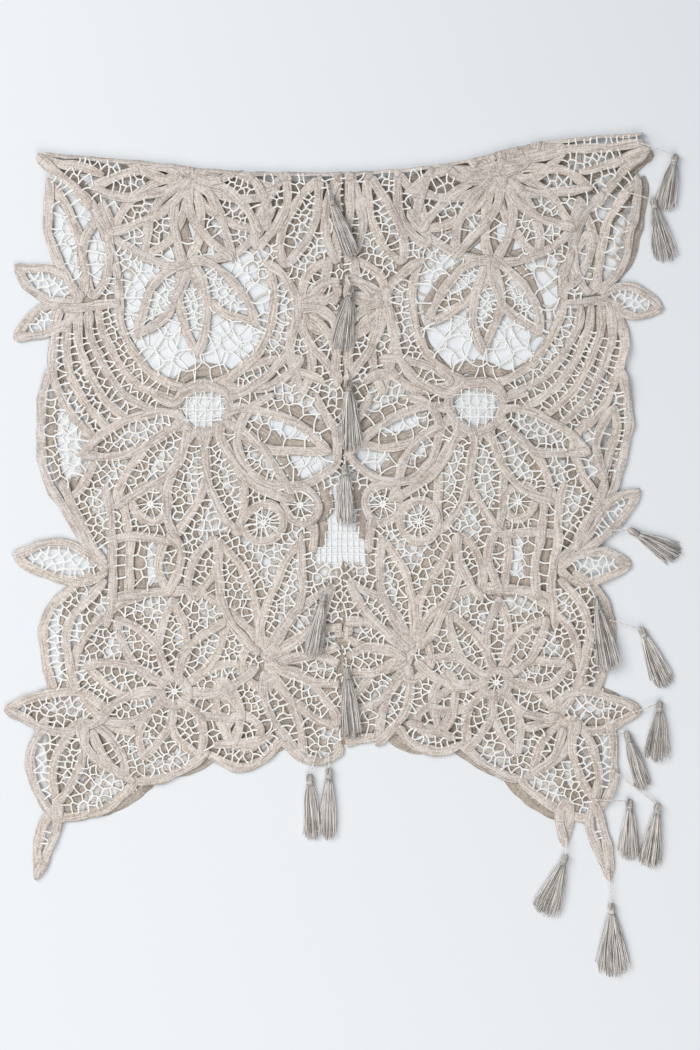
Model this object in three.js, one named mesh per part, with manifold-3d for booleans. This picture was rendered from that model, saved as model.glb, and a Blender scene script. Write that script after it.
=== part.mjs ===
// Ruana-style shawl of tape lace, folded over at the shoulder and laid flat, with thread tassels.
// Millimetres, +Z up. The shawl lies on z = 0 and +Y points to the shoulder fold.
// The origin is on the underside, on the tape that joins the two halves of the back.
import * as THREE from "three";
import { mergeVertices } from "three/addons/utils/BufferGeometryUtils.js";
import Module from "manifold-3d";

const wasm = await Module();
wasm.setup();

// Driving dimensions
const TAPE_WIDTH = 10.5; // woven tape that draws the pattern
const BAR_WIDTH = 2.6; // needle-made bars across the widest windows
const WALL = 1.6; // thickness of one layer of lace
const SEAM_GAP = 0.3; // clearance between neighbouring pieces
const FOLD_RADIUS = 4.2; // outside radius of the soft fold at the shoulder
const FOLD_ARM = 5; // flat strip on each side of the fold
const FOLD_EASE = 34; // distance over which the front settles down from the fold
const SQUEEZE_SPAN = 600; // height over which a half narrows towards its hem
const SQUEEZE_TOP = 300; // height where that narrowing starts
const LEAST_GAP = 2.3; // twice a gap's area over its edge length, below which it stays closed
const OUTLINE_TOLERANCE = 1.7; // how far an outline may stray when its points are thinned
const SEAM_TOLERANCE = 0.04; // the same along the seam with the fold
const FRONT_GAPS = 76; // gaps cut in each front
const BACK_GAPS = 72; // gaps cut in the back

// A table as objects that carry the columns' names.
function table(columns, rows) {
  return rows.map((row) => Object.fromEntries(columns.map((name, i) => [name, row[i]])));
}

// The pattern of one half, drawn once and mirrored. "out" is the distance from the centre line and
// "up" the height above the origin. Directions are in degrees: 0 outward, 90 up, 180 to the centre.
const FANS = table(
  ["name", "out", "up", "inner", "reach", "first", "last", "count", "width"],
  [
    ["shoulder", 156, 293, 10, 92, -9, -170, 7, 26],
    ["over_fold", 156, 293, 10, 70, 20, 160, 5, 26],
    ["tulip", 153, 207, 2, 90, -54, -138, 3, 27],
    ["inner_points", 46, 166, 8, 56, 128, 218, 4, 18],
    ["inner_drop", 46, 166, 10, 92, -93, -121, 2, 21],
    ["main", 140, 62, 26, 130, -21, -162, 6, 33],
    ["centre_up", 81, -192, 12, 130, 70, 108, 2, 28],
    ["centre_in", 81, -192, 12, 104, 133, 246, 5, 24],
    ["low_up", 171, -220, 12, 88, 14, 166, 5, 27],
    ["low_down", 171, -220, 12, 74, -22, -158, 4, 25],
  ],
);
const RINGS = table(
  ["name", "out", "up", "across", "tall", "first", "last"],
  [
    ["main_eye", 140, 62, 28, 25, 0, 360],
    ["bowl", 148, 170, 78, 88, 18, -205],
    ["bowl_outer", 146, 166, 100, 102, -62, -188],
    ["calyx", 156, 293, 95, 88, -22, -158],
    ["low_arch", 171, -220, 100, 100, -4, 182],
    ["low_eye", 171, -220, 14, 14, 0, 360],
    ["centre_eye", 81, -192, 18, 24, 0, 360],
    ["rosette_a", 81, -54, 20, 20, 0, 360],
    ["rosette_b", 42, -36, 18, 18, 0, 360],
    ["rosette_c", 190, -34, 17, 17, 0, 360],
    ["main_loop", 52, 30, 52, 46, 74, -200],
    ["low_rosette", 100, -262, 17, 15, 0, 360],
  ],
);
const ARCS = table(
  ["name", "out0", "up0", "out1", "up1", "bulge"],
  [
    ["corner", 304, 314, 252, 258, -4],
    ["bowl_rise", 224, 190, 262, 276, 8],
    ["top_edge", 306, 316, 236, 292, 0],
    ["bowl_crescent", 82, 208, 58, 128, -23],
    ["edge_scallop", 290, 100, 250, -80, 30],
    ["edge_inner", 258, 50, 274, -30, -18],
    ["edge_double", 282, -10, 236, -92, 6],
    ["edge_low", 252, -100, 286, -224, 28],
    ["edge_low_in", 238, -108, 262, -224, 24],
    ["edge_corner", 298, -246, 284, -350, 20],
    ["hem_centre", 63, -268, -6, -286, 5],
    ["hem_a", 138, -284, 60, -266, 20],
    ["hem_b", 208, -314, 134, -282, 7],
    ["hem_c", 290, -350, 204, -312, 10],
    ["hem_a_in", 130, -278, 70, -264, 2],
    ["chain_a", 236, -14, 236, -160, -5],
    ["chain_b", 221, -20, 216, -132, -5],
    ["window_top", 238, -70, 168, -70, -4],
    ["window_low", 236, -130, 150, -124, -4],
    ["seam_side", 32, -50, 30, -84, -2],
    ["neck_rise", 74, 236, 92, 298, 6],
    ["low_side", 262, -222, 204, -262, 8],
    ["low_side_b", 250, -258, 206, -314, 9],
    ["loop_tie", 28, 76, -2, 36, 4],
    ["drop_tie", 20, 84, 62, 92, 6],
    ["side_cap", 290, 158, 224, 164, -4],
  ],
);
const PETALS = table(
  ["name", "out0", "up0", "out1", "up1", "width"],
  [
    ["side_leaf_high", 266, 170, 325, 202, 25],
    ["side_leaf_low", 266, 166, 325, 134, 25],
    ["side_up", 264, 176, 294, 288, 28],
    ["side_up_in", 252, 176, 238, 266, 27],
    ["edge_leaf", 240, -98, 326, -86, 33],
    ["low_leaf", 234, -240, 336, -243, 37],
    ["tail", 285, -336, 305, -408, 13],
    ["main_up_in", 112, 82, 44, 108, 25],
    ["neck_a", 58, 206, 24, 290, 25],
    ["neck_b", 84, 222, 54, 294, 22],
    ["neck_c", 4, 210, 4, 294, 27],
    ["chain_leaf", 172, -64, 172, -124, 22],
    ["chain_leaf_b", 128, -70, 150, -132, 22],
    ["hem_leaf_a", 262, -252, 216, -304, 26],
    ["hem_leaf_b", 264, -252, 288, -334, 25],
    ["hem_leaf_c", 120, -210, 112, -276, 24],
  ],
);
const LADDERS = table(
  ["name", "out0", "up0", "stepOut0", "stepUp0", "out1", "up1", "stepOut1", "stepUp1", "count", "bulge"],
  [["side", 281, 162, -9, 0, 250, 34, -20, 9, 5, 21]],
);
// Bars run straight from a fan's centre outward, between two distances.
const BARS = table(
  ["name", "out", "up", "inner", "reach", "first", "last", "count"],
  [["bowl_bars", 150, 178, 40, 88, -34, -150, 7]],
);
// Tapes that only one panel has.
const BACK_SPINE = table(
  ["name", "out0", "up0", "out1", "up1", "bulge"],
  [
    ["spine_upper", 0, 300, 0, -22, 0],
    ["spine_lower", 0, -92, 0, -288, 0],
  ],
);
const RIGHT_LEAVES = table(
  ["name", "out0", "up0", "out1", "up1", "width"],
  [
    ["second_tail", 258, -334, 254, -374, 11],
    ["side_leaf_right", 268, 170, 328, 160, 25],
    ["edge_leaf_right", 240, -98, 309, -96, 30],
    ["edge_fold_right", 252, -76, 317, -24, 25],
  ],
);

// The crest of the shoulder fold, seen from above.
const CREST = table(
  ["x", "y"],
  [
    [-306, 318],
    [-190, 308],
    [-120, 300],
    [0, 298],
    [110, 308],
    [200, 329],
    [303, 338],
  ],
);

// Soft ridges in the front: centre, direction, half length, half width and height.
const RIDGES = table(
  ["name", "x", "y", "direction", "reach", "spread", "height"],
  [
    ["seam_left", -12, 20, 92, 270, 13, 1.6],
    ["seam_right", 14, 10, 88, 280, 14, 2.0],
    ["shoulder_right", 262, 285, 140, 80, 22, 4.5],
    ["edge_right", 250, -95, 84, 120, 20, 3.2],
    ["corner_right", 240, -280, 118, 90, 20, 3.4],
    ["corner_left", -288, -290, 82, 80, 18, 3.6],
    ["corner_left_in", -252, -270, 70, 70, 14, 2.4],
    ["edge_left", -262, 60, 78, 130, 22, 2.2],
    ["hem_left", -110, -268, 8, 90, 20, 2.2],
    ["hem_right", 120, -262, 170, 80, 20, 2.4],
    ["middle_left", -150, -60, 30, 130, 30, 1.8],
    ["middle_right", 170, 40, 146, 140, 30, 2.0],
  ],
);

const SIDE_LEAVES = ["side_leaf_high", "side_leaf_low"];
const FRONT_LEAVES = [...SIDE_LEAVES, "edge_leaf", "tail"]; // leaves that show in the fronts alone
const LEFT_LEAVES = [...SIDE_LEAVES, "edge_leaf"]; // leaves that lie in another way on the right

// How each panel takes the half pattern: side, narrowing at the hem, pull of the hem up near the
// centre, sideways and upward shift, turn in degrees, and the leaves that it goes without.
const PLACES = {
  frontLeft: { side: -1, squeeze: 0, pull: 0, dx: 0, dy: 0, turn: 0, without: [] },
  frontRight: { side: 1, squeeze: 0.13, pull: 15, dx: 0, dy: 2, turn: 0, without: LEFT_LEAVES },
  backLeft: { side: -1, squeeze: 0.05, pull: 0, dx: 6, dy: 5, turn: 0, without: FRONT_LEAVES },
  backRight: { side: 1, squeeze: 0.13, pull: 12, dx: -6, dy: 13, turn: -2.2, without: FRONT_LEAVES },
};
const PULL_FROM = 230; // distance from the centre line where the pull of the hem ends

// Each tassel: where its cord is tied, where its head lies, which way the skirt points, its length
// and the width that it fans to, and whether it lies on the front or on the surface beside it.
const TASSELS = table(
  ["name", "tieX", "tieY", "headX", "headY", "heading", "length", "fan", "on"],
  [
    ["seam_1", -16, 284, -12, 268, -69, 54, 17, "front"],
    ["seam_2", 4, 192, 7, 178, -99, 54, 21, "front"],
    ["seam_3", 4, 98, 6, 84, -89, 60, 23, "front"],
    ["seam_4", 2, 12, 2, 0, -90, 50, 17, "front"],
    ["seam_5", -14, -114, -20, -129, -101, 54, 19, "front"],
    ["seam_6", 3, -188, 4, -203, -85, 60, 19, "front"],
    ["hem_left", -26, -281, -33, -309, -87, 55, 15, "surface"],
    ["hem_right", -14, -283, -14, -303, -91, 60, 15, "surface"],
    ["corner_top", 294, 326, 331, 310, -101, 46, 19, "surface"],
    ["edge_1", 284, 276, 310, 266, -77, 54, 23, "surface"],
    ["edge_2", 268, -60, 290, -62, -28, 46, 22, "surface"],
    ["edge_3", 245, -114, 253, -134, -79, 62, 23, "front"],
    ["edge_4", 267, -150, 299, -162, -66, 54, 21, "surface"],
    ["edge_5", 290, -242, 316, -236, -92, 50, 24, "surface"],
    ["edge_6", 261, -264, 284, -266, -72, 50, 16, "surface"],
    ["edge_7", 253, -329, 286, -334, -90, 50, 20, "surface"],
    ["edge_8", 270, -300, 314, -338, -98, 54, 22, "surface"],
    ["tail_short", 223, -368, 221, -389, -110, 54, 29, "surface"],
    ["tail_long", 265, -400, 268, -438, -88, 62, 32, "surface"],
  ],
);
const LOCK_ROOT = 1.1; // thickness of a strand where it leaves the head
const LOCK_TIP = 2.0; // thickness of a strand at its end
const LOCK_SHORTENING = 0.35; // how much shorter the outer strands of a skirt are
// The lower and upper row of a skirt: strands, height of their roots over the head's axis, of their tips
const LOCK_ROWS = table(
  ["count", "rootZ", "tipZ"],
  [
    [5, -1.2, 1.2],
    [4, 1.2, 4.2],
  ],
);
const HEAD_RADIUS = 4;
const HEAD_LENGTH = 11;
const HEAD_SIDES = 6;
// The wound head from its top to its neck, as fractions of its radius and length
const HEAD_PROFILE = table(
  ["radius", "along"],
  [
    [0, -0.5],
    [0.7, -0.44],
    [1, -0.1],
    [0.78, 0.26],
    [0.9, 0.5],
    [0, 0.5],
  ],
);
const NECK_WIDTH = 6.5; // width of the skirt where it leaves the head
const CORD_RADIUS = 1.1;
const CORD_STEPS = 4;
const KNOT_RADIUS = 1.9; // knot that ties the cord to a tape
const REST_GAP = 0.35; // height of a tassel over what it lies on

// Points of the pattern

const SIDE_POINTS = 8; // points along an arc
const RING_STEP = 16; // degrees between points of a ring
const LEAF_POINTS = 9; // stations along a leaf
const LEAF_BELLY = 0.85; // below 1, the widest place moves towards the root
const LEAF_FULLNESS = 0.75; // below 1, the sides are fuller
const LEAF_OVERSHOOT = 4; // how far a leaf's outline runs past its root and tip
const LEAF_BLUNT = 0.8; // half width of a leaf at its very ends
const RING_LAP = 12; // degrees by which the two halves of a whole ring overlap

function direction(degrees) {
  const a = THREE.MathUtils.degToRad(degrees);
  return new THREE.Vector2(Math.cos(a), Math.sin(a));
}

function spread(first, last, count, k) {
  return count > 1 ? first + ((last - first) * k) / (count - 1) : first;
}

// A leaf of bent tape: its outer outline, pointed at both ends, and the gap inside it.
function leaf(root, tip, width) {
  const run = tip.clone().sub(root);
  const across = new THREE.Vector2(-run.y, run.x).normalize();
  const along = run.clone().normalize();
  const from = root.clone().addScaledVector(along, -LEAF_OVERSHOOT);
  const reach = run.length() + 2 * LEAF_OVERSHOOT;
  const outline = [[], []];
  const gap = [[], []];
  for (let i = 0; i <= LEAF_POINTS; i++) {
    const t = i / LEAF_POINTS;
    const swell = Math.pow(Math.sin(Math.PI * Math.pow(t, LEAF_BELLY)), LEAF_FULLNESS) || 0;
    const half = LEAF_BLUNT + ((width + TAPE_WIDTH) / 2 - LEAF_BLUNT) * swell;
    const inside = half - TAPE_WIDTH;
    const at = from.clone().addScaledVector(along, t * reach);
    [1, -1].forEach((sign, k) => {
      outline[k].push(at.clone().addScaledVector(across, sign * half));
      if (inside > LEAF_BLUNT) gap[k].push(at.clone().addScaledVector(across, sign * inside));
    });
  }
  const closed = ([one, other]) => [...one, ...other.slice().reverse()];
  return { outline: closed(outline), gap: gap[0].length > 2 ? closed(gap) : null };
}

function arcLine(from, to, bulge) {
  const run = to.clone().sub(from);
  const across = new THREE.Vector2(-run.y, run.x).normalize();
  return Array.from({ length: SIDE_POINTS }, (_, i) => {
    const t = i / (SIDE_POINTS - 1);
    return from.clone().addScaledVector(run, t).addScaledVector(across, bulge * 4 * t * (1 - t));
  });
}

function ringLine(row, first, last) {
  const count = Math.max(4, Math.round(Math.abs(last - first) / RING_STEP) + 1);
  return Array.from({ length: count }, (_, i) => {
    const d = direction(spread(first, last, count, i));
    return new THREE.Vector2(row.out + row.across * d.x, row.up + row.tall * d.y);
  });
}

// All of one half in (out, up): tapes as { line, width } and leaves as { outline, gap }.
function halfPattern(without) {
  const pieces = [];
  const add = (line, width = TAPE_WIDTH) => pieces.push({ line, width });
  const rays = (fan, use) => {
    const centre = new THREE.Vector2(fan.out, fan.up);
    for (let k = 0; k < fan.count; k++) {
      const d = direction(spread(fan.first, fan.last, fan.count, k));
      use(...[fan.inner, fan.reach].map((r) => centre.clone().addScaledVector(d, r)));
    }
  };
  for (const fan of FANS) rays(fan, (root, tip) => pieces.push(leaf(root, tip, fan.width)));
  for (const fan of BARS) rays(fan, (from, to) => add([from, to], BAR_WIDTH));
  for (const row of PETALS) if (!without.includes(row.name)) pieces.push(leaf(...endsOf(row), row.width));
  for (const ring of RINGS) {
    if (Math.abs(ring.last - ring.first) < 360) add(ringLine(ring, ring.first, ring.last));
    else {
      add(ringLine(ring, 0, 180 + RING_LAP));
      add(ringLine(ring, 180, 360 + RING_LAP));
    }
  }
  for (const arc of ARCS) add(arcOf(arc));
  for (const ladder of LADDERS)
    for (let k = 0; k < ladder.count; k++) {
      const from = new THREE.Vector2(ladder.out0 + k * ladder.stepOut0, ladder.up0 + k * ladder.stepUp0);
      const to = new THREE.Vector2(ladder.out1 + k * ladder.stepOut1, ladder.up1 + k * ladder.stepUp1);
      add(arcLine(from, to, ladder.bulge));
    }
  return pieces;
}

function endsOf(row) {
  return [new THREE.Vector2(row.out0, row.up0), new THREE.Vector2(row.out1, row.up1)];
}

function arcOf(row) {
  return arcLine(...endsOf(row), row.bulge);
}

// A piece of the half pattern where a panel has it, in (x, y).
function placed(piece, place) {
  const origin = new THREE.Vector2();
  const turn = THREE.MathUtils.degToRad(place.turn);
  const shift = new THREE.Vector2(place.dx, place.dy);
  const move = (points) =>
    points.map((p) => {
      const low = THREE.MathUtils.clamp((SQUEEZE_TOP - p.y) / SQUEEZE_SPAN, 0, 1);
      const near = THREE.MathUtils.clamp(1 - p.x / PULL_FROM, 0, 1);
      const pull = place.pull * low ** 4 * Math.sqrt(near);
      const q = new THREE.Vector2(place.side * p.x * (1 - place.squeeze * low), p.y + pull);
      return q.rotateAround(origin, turn).add(shift);
    });
  if (piece.line) return { line: move(piece.line), width: piece.width };
  return { outline: move(piece.outline), gap: piece.gap && move(piece.gap) };
}

// Solids and outlines

const SLAB = 2; // height of the flat slabs that outlines are taken from

function toSolid(geometry) {
  const bare = geometry.index ? geometry.toNonIndexed() : geometry.clone();
  for (const name of Object.keys(bare.attributes)) if (name !== "position") bare.deleteAttribute(name);
  const merged = mergeVertices(bare, 1e-4);
  const mesh = new wasm.Mesh({
    numProp: 3,
    vertProperties: new Float32Array(merged.attributes.position.array),
    triVerts: new Uint32Array(merged.index.array),
  });
  return new wasm.Manifold(mesh);
}

function toGeometry(solid) {
  const mesh = solid.getMesh();
  const geometry = new THREE.BufferGeometry();
  geometry.setAttribute("position", new THREE.BufferAttribute(new Float32Array(mesh.vertProperties), 3));
  geometry.setIndex(new THREE.BufferAttribute(new Uint32Array(mesh.triVerts), 1));
  return geometry;
}

function slab(points) {
  const shape = new THREE.Shape(points);
  return toSolid(new THREE.ExtrudeGeometry(shape, { depth: SLAB, bevelEnabled: false }));
}

// A tape or a leaf as a flat slab.
function pieceSlab({ line, width, outline, gap }) {
  if (outline) return gap ? slab(outline).subtract(slab(gap)) : slab(outline);
  const sides = [1, -1].map((sign) =>
    line.map((p, i) => {
      const ahead = line[Math.min(i + 1, line.length - 1)];
      const behind = line[Math.max(i - 1, 0)];
      const run = ahead.clone().sub(behind).normalize();
      return new THREE.Vector2(p.x - (sign * run.y * width) / 2, p.y + (sign * run.x * width) / 2);
    }),
  );
  return slab([...sides[0], ...sides[1].reverse()]);
}

function signedArea(loop) {
  return THREE.ShapeUtils.area(loop);
}

function edgeLength(loop) {
  return loop.reduce((sum, p, i) => sum + p.distanceTo(loop[(i + 1) % loop.length]), 0);
}

// The closed outlines of a slab's top face: positive area outside, negative round a gap.
function topLoops(solid) {
  const { vertProperties, triVerts } = solid.getMesh();
  const onTop = (v) => vertProperties[3 * v + 2] > SLAB - 1e-3;
  const edges = new Map();
  for (let i = 0; i < triVerts.length; i += 3) {
    const corners = [triVerts[i], triVerts[i + 1], triVerts[i + 2]];
    if (!corners.every(onTop)) continue;
    corners.forEach((a, k) => {
      const b = corners[(k + 1) % 3];
      if (!edges.delete(b + ":" + a)) edges.set(a + ":" + b, [a, b]);
    });
  }
  const next = new Map();
  for (const [a, b] of edges.values()) next.set(a, [...(next.get(a) ?? []), b]);
  const loops = [];
  for (const start of next.keys())
    while (next.get(start).length) {
      const loop = [];
      let at = start;
      do {
        loop.push(new THREE.Vector2(vertProperties[3 * at], vertProperties[3 * at + 1]));
        at = next.get(at).pop();
      } while (at !== start && at !== undefined);
      loops.push(loop);
    }
  return loops;
}

// An open line with the points left out that stray less than the tolerance.
function thinned(line) {
  const [a, b] = [line[0], line[line.length - 1]];
  const run = b.clone().sub(a);
  let farthest = 0;
  let most = 1;
  for (let i = 1; i < line.length - 1; i++) {
    const off = line[i].clone().sub(a);
    const distance = run.length() < 1e-6 ? off.length() : Math.abs(run.cross(off)) / run.length();
    const strays = distance / (onSeam(line[i]) ? SEAM_TOLERANCE : OUTLINE_TOLERANCE);
    if (strays > most) [most, farthest] = [strays, i];
  }
  if (!farthest) return [a, b];
  return [...thinned(line.slice(0, farthest + 1)).slice(0, -1), ...thinned(line.slice(farthest))];
}

function thinnedLoop(loop) {
  const away = loop.map((p) => p.distanceTo(loop[0]));
  const half = away.indexOf(Math.max(...away));
  const there = thinned(loop.slice(0, half + 1));
  const back = thinned([...loop.slice(half), loop[0]]);
  return [...there.slice(0, -1), ...back.slice(0, -1)];
}

// The outer outline and the largest gaps of a union of pieces, inside a limit.
function laceOutline(pieces, limit, mostGaps) {
  const net = wasm.Manifold.union(pieces.map(pieceSlab)).intersect(limit);
  const loops = topLoops(net).map(thinnedLoop).filter((loop) => loop.length > 2);
  const outer = loops.reduce((best, loop) => (signedArea(loop) > signedArea(best) ? loop : best));
  const gaps = loops
    .filter((loop) => signedArea(loop) < 0 && (-2 * signedArea(loop)) / edgeLength(loop) > LEAST_GAP)
    .sort((p, q) => signedArea(p) - signedArea(q))
    .slice(0, mostGaps);
  return { outer, gaps };
}

// A wall of lace: its underside lies at base + lift(x, y).
function laceWall({ outer, gaps }, base, lift) {
  const flat = [outer, ...gaps].flat();
  const count = flat.length;
  const positions = [];
  for (const height of [WALL, 0])
    for (const p of flat) positions.push(p.x, p.y, base + lift(p.x, p.y) + height);
  const index = [];
  for (const [a, b, c] of THREE.ShapeUtils.triangulateShape(outer, gaps)) {
    index.push(a, b, c);
    index.push(a + count, c + count, b + count);
  }
  let start = 0;
  for (const loop of [outer, ...gaps]) {
    loop.forEach((_, i) => {
      const a = start + i;
      const b = start + ((i + 1) % loop.length);
      index.push(a + count, b + count, b, a + count, b, a);
    });
    start += loop.length;
  }
  const geometry = new THREE.BufferGeometry();
  geometry.setAttribute("position", new THREE.Float32BufferAttribute(positions, 3));
  geometry.setIndex(index);
  return geometry;
}

// Shoulder fold

const crestCurve = new THREE.SplineCurve(CREST.map((row) => new THREE.Vector2(row.x, row.y)));
const CREST_STATIONS = 22;
const CREST_POINTS = crestCurve.getSpacedPoints(CREST_STATIONS);
const FOLD_DEPTH = FOLD_RADIUS + FOLD_ARM; // from the crest to the seam with the panels

function crestAt(x) {
  const i = CREST_POINTS.findIndex((p, k) => k > 0 && (p.x >= x || k === CREST_POINTS.length - 1));
  const [a, b] = [CREST_POINTS[i - 1], CREST_POINTS[i]];
  return a.y + ((b.y - a.y) * (x - a.x)) / (b.x - a.x);
}

function onSeam(p) {
  return Math.abs(crestAt(p.x) - FOLD_DEPTH - SEAM_GAP - p.y) < SEAM_GAP;
}

// Area below the seam with the fold, between two limits across.
function belowSeam(x0, x1) {
  const FAR = 700;
  const seam = CREST_POINTS.map((p) => new THREE.Vector2(p.x, p.y - FOLD_DEPTH - SEAM_GAP));
  const left = [new THREE.Vector2(-FAR, -FAR), new THREE.Vector2(-FAR, seam[0].y)];
  const right = [new THREE.Vector2(FAR, seam[seam.length - 1].y), new THREE.Vector2(FAR, -FAR)];
  const half = slab([...left, ...seam, ...right]);
  const box = [
    new THREE.Vector2(x0 ?? -FAR, -FAR),
    new THREE.Vector2(x1 ?? FAR, -FAR),
    new THREE.Vector2(x1 ?? FAR, FAR),
    new THREE.Vector2(x0 ?? -FAR, FAR),
  ];
  return half.intersect(slab(box));
}

// The tape that runs along a panel's seam with the fold.
function seamTape(place) {
  const line = CREST_POINTS.filter((p) => place.side * p.x > -TAPE_WIDTH).map(
    (p) => new THREE.Vector2(p.x, p.y - FOLD_DEPTH - TAPE_WIDTH / 2),
  );
  return { line, width: TAPE_WIDTH };
}

// A strip of lace bent back on itself, as a loft of C-shaped sections along the crest.
function shoulderFold() {
  const ARC_POINTS = 6;
  const profile = (radius) => {
    const bend = Array.from({ length: ARC_POINTS }, (_, i) => {
      const d = direction(spread(-90, 90, ARC_POINTS, i));
      return [d.x * radius, d.y * radius];
    });
    return [[-FOLD_ARM, -radius], ...bend, [-FOLD_ARM, radius]];
  };
  const section = [...profile(FOLD_RADIUS), ...profile(FOLD_RADIUS - WALL).reverse()];
  const size = section.length;
  const positions = CREST_POINTS.flatMap((p) =>
    section.flatMap(([ahead, height]) => [p.x, p.y - FOLD_RADIUS + ahead, FOLD_RADIUS + height]),
  );
  const index = [];
  for (let k = 0; k < CREST_STATIONS; k++)
    for (let i = 0; i < size; i++) {
      const [a, b] = [k * size + i, k * size + ((i + 1) % size)];
      index.push(a, b, b + size, a, b + size, a + size);
    }
  const flat = section.map(([ahead, height]) => new THREE.Vector2(ahead, height));
  const last = CREST_STATIONS * size;
  for (const [a, b, c] of THREE.ShapeUtils.triangulateShape(flat, [])) {
    index.push(a, c, b);
    index.push(last + a, last + b, last + c);
  }
  const geometry = new THREE.BufferGeometry();
  geometry.setAttribute("position", new THREE.Float32BufferAttribute(positions, 3));
  geometry.setIndex(index);
  return geometry;
}

// Panels

const FRONT_BASE = WALL + SEAM_GAP; // underside of the front where it lies on the back
const FOLD_LIFT = 2 * FOLD_RADIUS - WALL - FRONT_BASE; // rise of the front where it meets the fold

function ridgeAt(row, x, y) {
  const d = direction(row.direction);
  const [dx, dy] = [x - row.x, y - row.y];
  const along = (dx * d.x + dy * d.y) / row.reach;
  const across = (dy * d.x - dx * d.y) / row.spread;
  return Math.abs(along) >= 1 ? 0 : row.height * (1 - along * along) ** 2 * Math.exp(-across * across);
}

// Height of the front's underside over its lowest level.
function frontLift(x, y) {
  const away = Math.max(0, crestAt(x) - FOLD_DEPTH - y) / FOLD_EASE;
  const settled = RIDGES.reduce((sum, row) => sum + ridgeAt(row, x, y), 0);
  const nearFold = Math.exp(-away * away);
  return FOLD_LIFT * nearFold + settled * (1 - nearFold);
}

function frontTop(x, y) {
  return FRONT_BASE + frontLift(x, y) + WALL;
}

function frontPanel(place, ownLeaves) {
  const extra = ownLeaves.map((row) => leaf(...endsOf(row), row.width));
  const pieces = [...halfPattern(place.without), ...extra].map((piece) => placed(piece, place));
  const edge = (place.side * SEAM_GAP) / 2;
  const limit = place.side < 0 ? belowSeam(null, edge) : belowSeam(edge, null);
  return laceWall(laceOutline([...pieces, seamTape(place)], limit, FRONT_GAPS), FRONT_BASE, frontLift);
}

function backPanel() {
  const spine = BACK_SPINE.map((row) => ({ line: arcOf(row), width: TAPE_WIDTH }));
  const sides = [PLACES.backLeft, PLACES.backRight].flatMap((place) => [
    ...halfPattern(place.without).map((piece) => placed(piece, place)),
    seamTape(place),
  ]);
  return laceWall(laceOutline([...sides, ...spine], belowSeam(null, null), BACK_GAPS), 0, () => 0);
}

// Tassels: a cord, a wound head and a fan of strands, made along +X and turned to their heading

function lock(from, to) {
  const positions = [];
  for (const [point, size] of [
    [from, LOCK_ROOT],
    [to, LOCK_TIP],
  ])
    for (const degrees of [90, 210, 330]) {
      const d = direction(degrees).multiplyScalar(size / Math.sqrt(3));
      positions.push(point.x, point.y + d.x, point.z + d.y);
    }
  const geometry = new THREE.BufferGeometry();
  geometry.setAttribute("position", new THREE.Float32BufferAttribute(positions, 3));
  geometry.setIndex([0, 2, 1, 3, 4, 5, 0, 1, 4, 0, 4, 3, 1, 2, 5, 1, 5, 4, 2, 0, 3, 2, 3, 5]);
  return toSolid(geometry);
}

function tasselHead() {
  const size = new THREE.Vector2(HEAD_RADIUS, HEAD_LENGTH);
  const profile = HEAD_PROFILE.map((row) => new THREE.Vector2(row.radius, row.along).multiply(size));
  const head = new THREE.LatheGeometry(profile, HEAD_SIDES);
  return toSolid(head.rotateZ(-Math.PI / 2).translate(0, 0, HEAD_RADIUS));
}

function skirt(row) {
  const neck = HEAD_LENGTH / 2;
  return LOCK_ROWS.flatMap(({ count, rootZ, tipZ }) =>
    Array.from({ length: count }, (_, k) => {
      const side = (k - (count - 1) / 2) / LOCK_ROWS[0].count;
      const length = row.length * (1 - LOCK_SHORTENING * side * side);
      const root = new THREE.Vector3(neck - LOCK_ROOT, side * NECK_WIDTH, HEAD_RADIUS + rootZ);
      return lock(root, new THREE.Vector3(neck + length, side * row.fan, tipZ));
    }),
  );
}

function tasselCord(tie, head) {
  const middle = tie.clone().lerp(head, 0.5).setZ(Math.max(tie.z, head.z));
  const path = new THREE.CatmullRomCurve3([tie, middle, head]);
  const corners = [90, 210, 330].map((degrees) => direction(degrees).multiplyScalar(CORD_RADIUS));
  const section = new THREE.Shape(corners);
  return toSolid(new THREE.ExtrudeGeometry(section, { steps: CORD_STEPS, extrudePath: path }));
}

// The highest place of the front under a tassel that lies on it.
function tasselBase(row) {
  if (row.on === "surface") return 0;
  const PROBES = 9;
  const d = direction(row.heading);
  let most = 0;
  for (let i = 0; i < PROBES; i++)
    for (const side of [-0.5, 0, 0.5]) {
      const along = spread(-HEAD_LENGTH / 2, HEAD_LENGTH / 2 + row.length, PROBES, i);
      const across = side * row.fan;
      const x = row.headX + along * d.x - across * d.y;
      const y = row.headY + along * d.y + across * d.x;
      most = Math.max(most, frontTop(x, y));
    }
  return most;
}

function tassel(row) {
  const base = tasselBase(row) + REST_GAP;
  const turn = THREE.MathUtils.degToRad(row.heading);
  const tie = new THREE.Vector3(row.tieX - row.headX, row.tieY - row.headY, 0);
  tie.applyAxisAngle(new THREE.Vector3(0, 0, 1), -turn);
  tie.z = frontTop(row.tieX, row.tieY) + REST_GAP + KNOT_RADIUS - base;
  const knot = toSolid(new THREE.OctahedronGeometry(KNOT_RADIUS).translate(tie.x, tie.y, tie.z));
  const top = new THREE.Vector3(KNOT_RADIUS - HEAD_LENGTH / 2, 0, HEAD_RADIUS);
  const solid = wasm.Manifold.union([knot, tasselCord(tie, top), tasselHead(), ...skirt(row)]);
  const mesh = named("tassel_" + row.name, toGeometry(solid), TASSEL_FINISH);
  mesh.position.set(row.headX, row.headY, base);
  mesh.rotation.z = turn;
  return mesh;
}

// The shawl

const TAPE_FINISH = { color: 0xcfc5bb, roughness: 0.92, metalness: 0 };
const TASSEL_FINISH = { color: 0xa59d95, roughness: 0.85, metalness: 0 };

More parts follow.
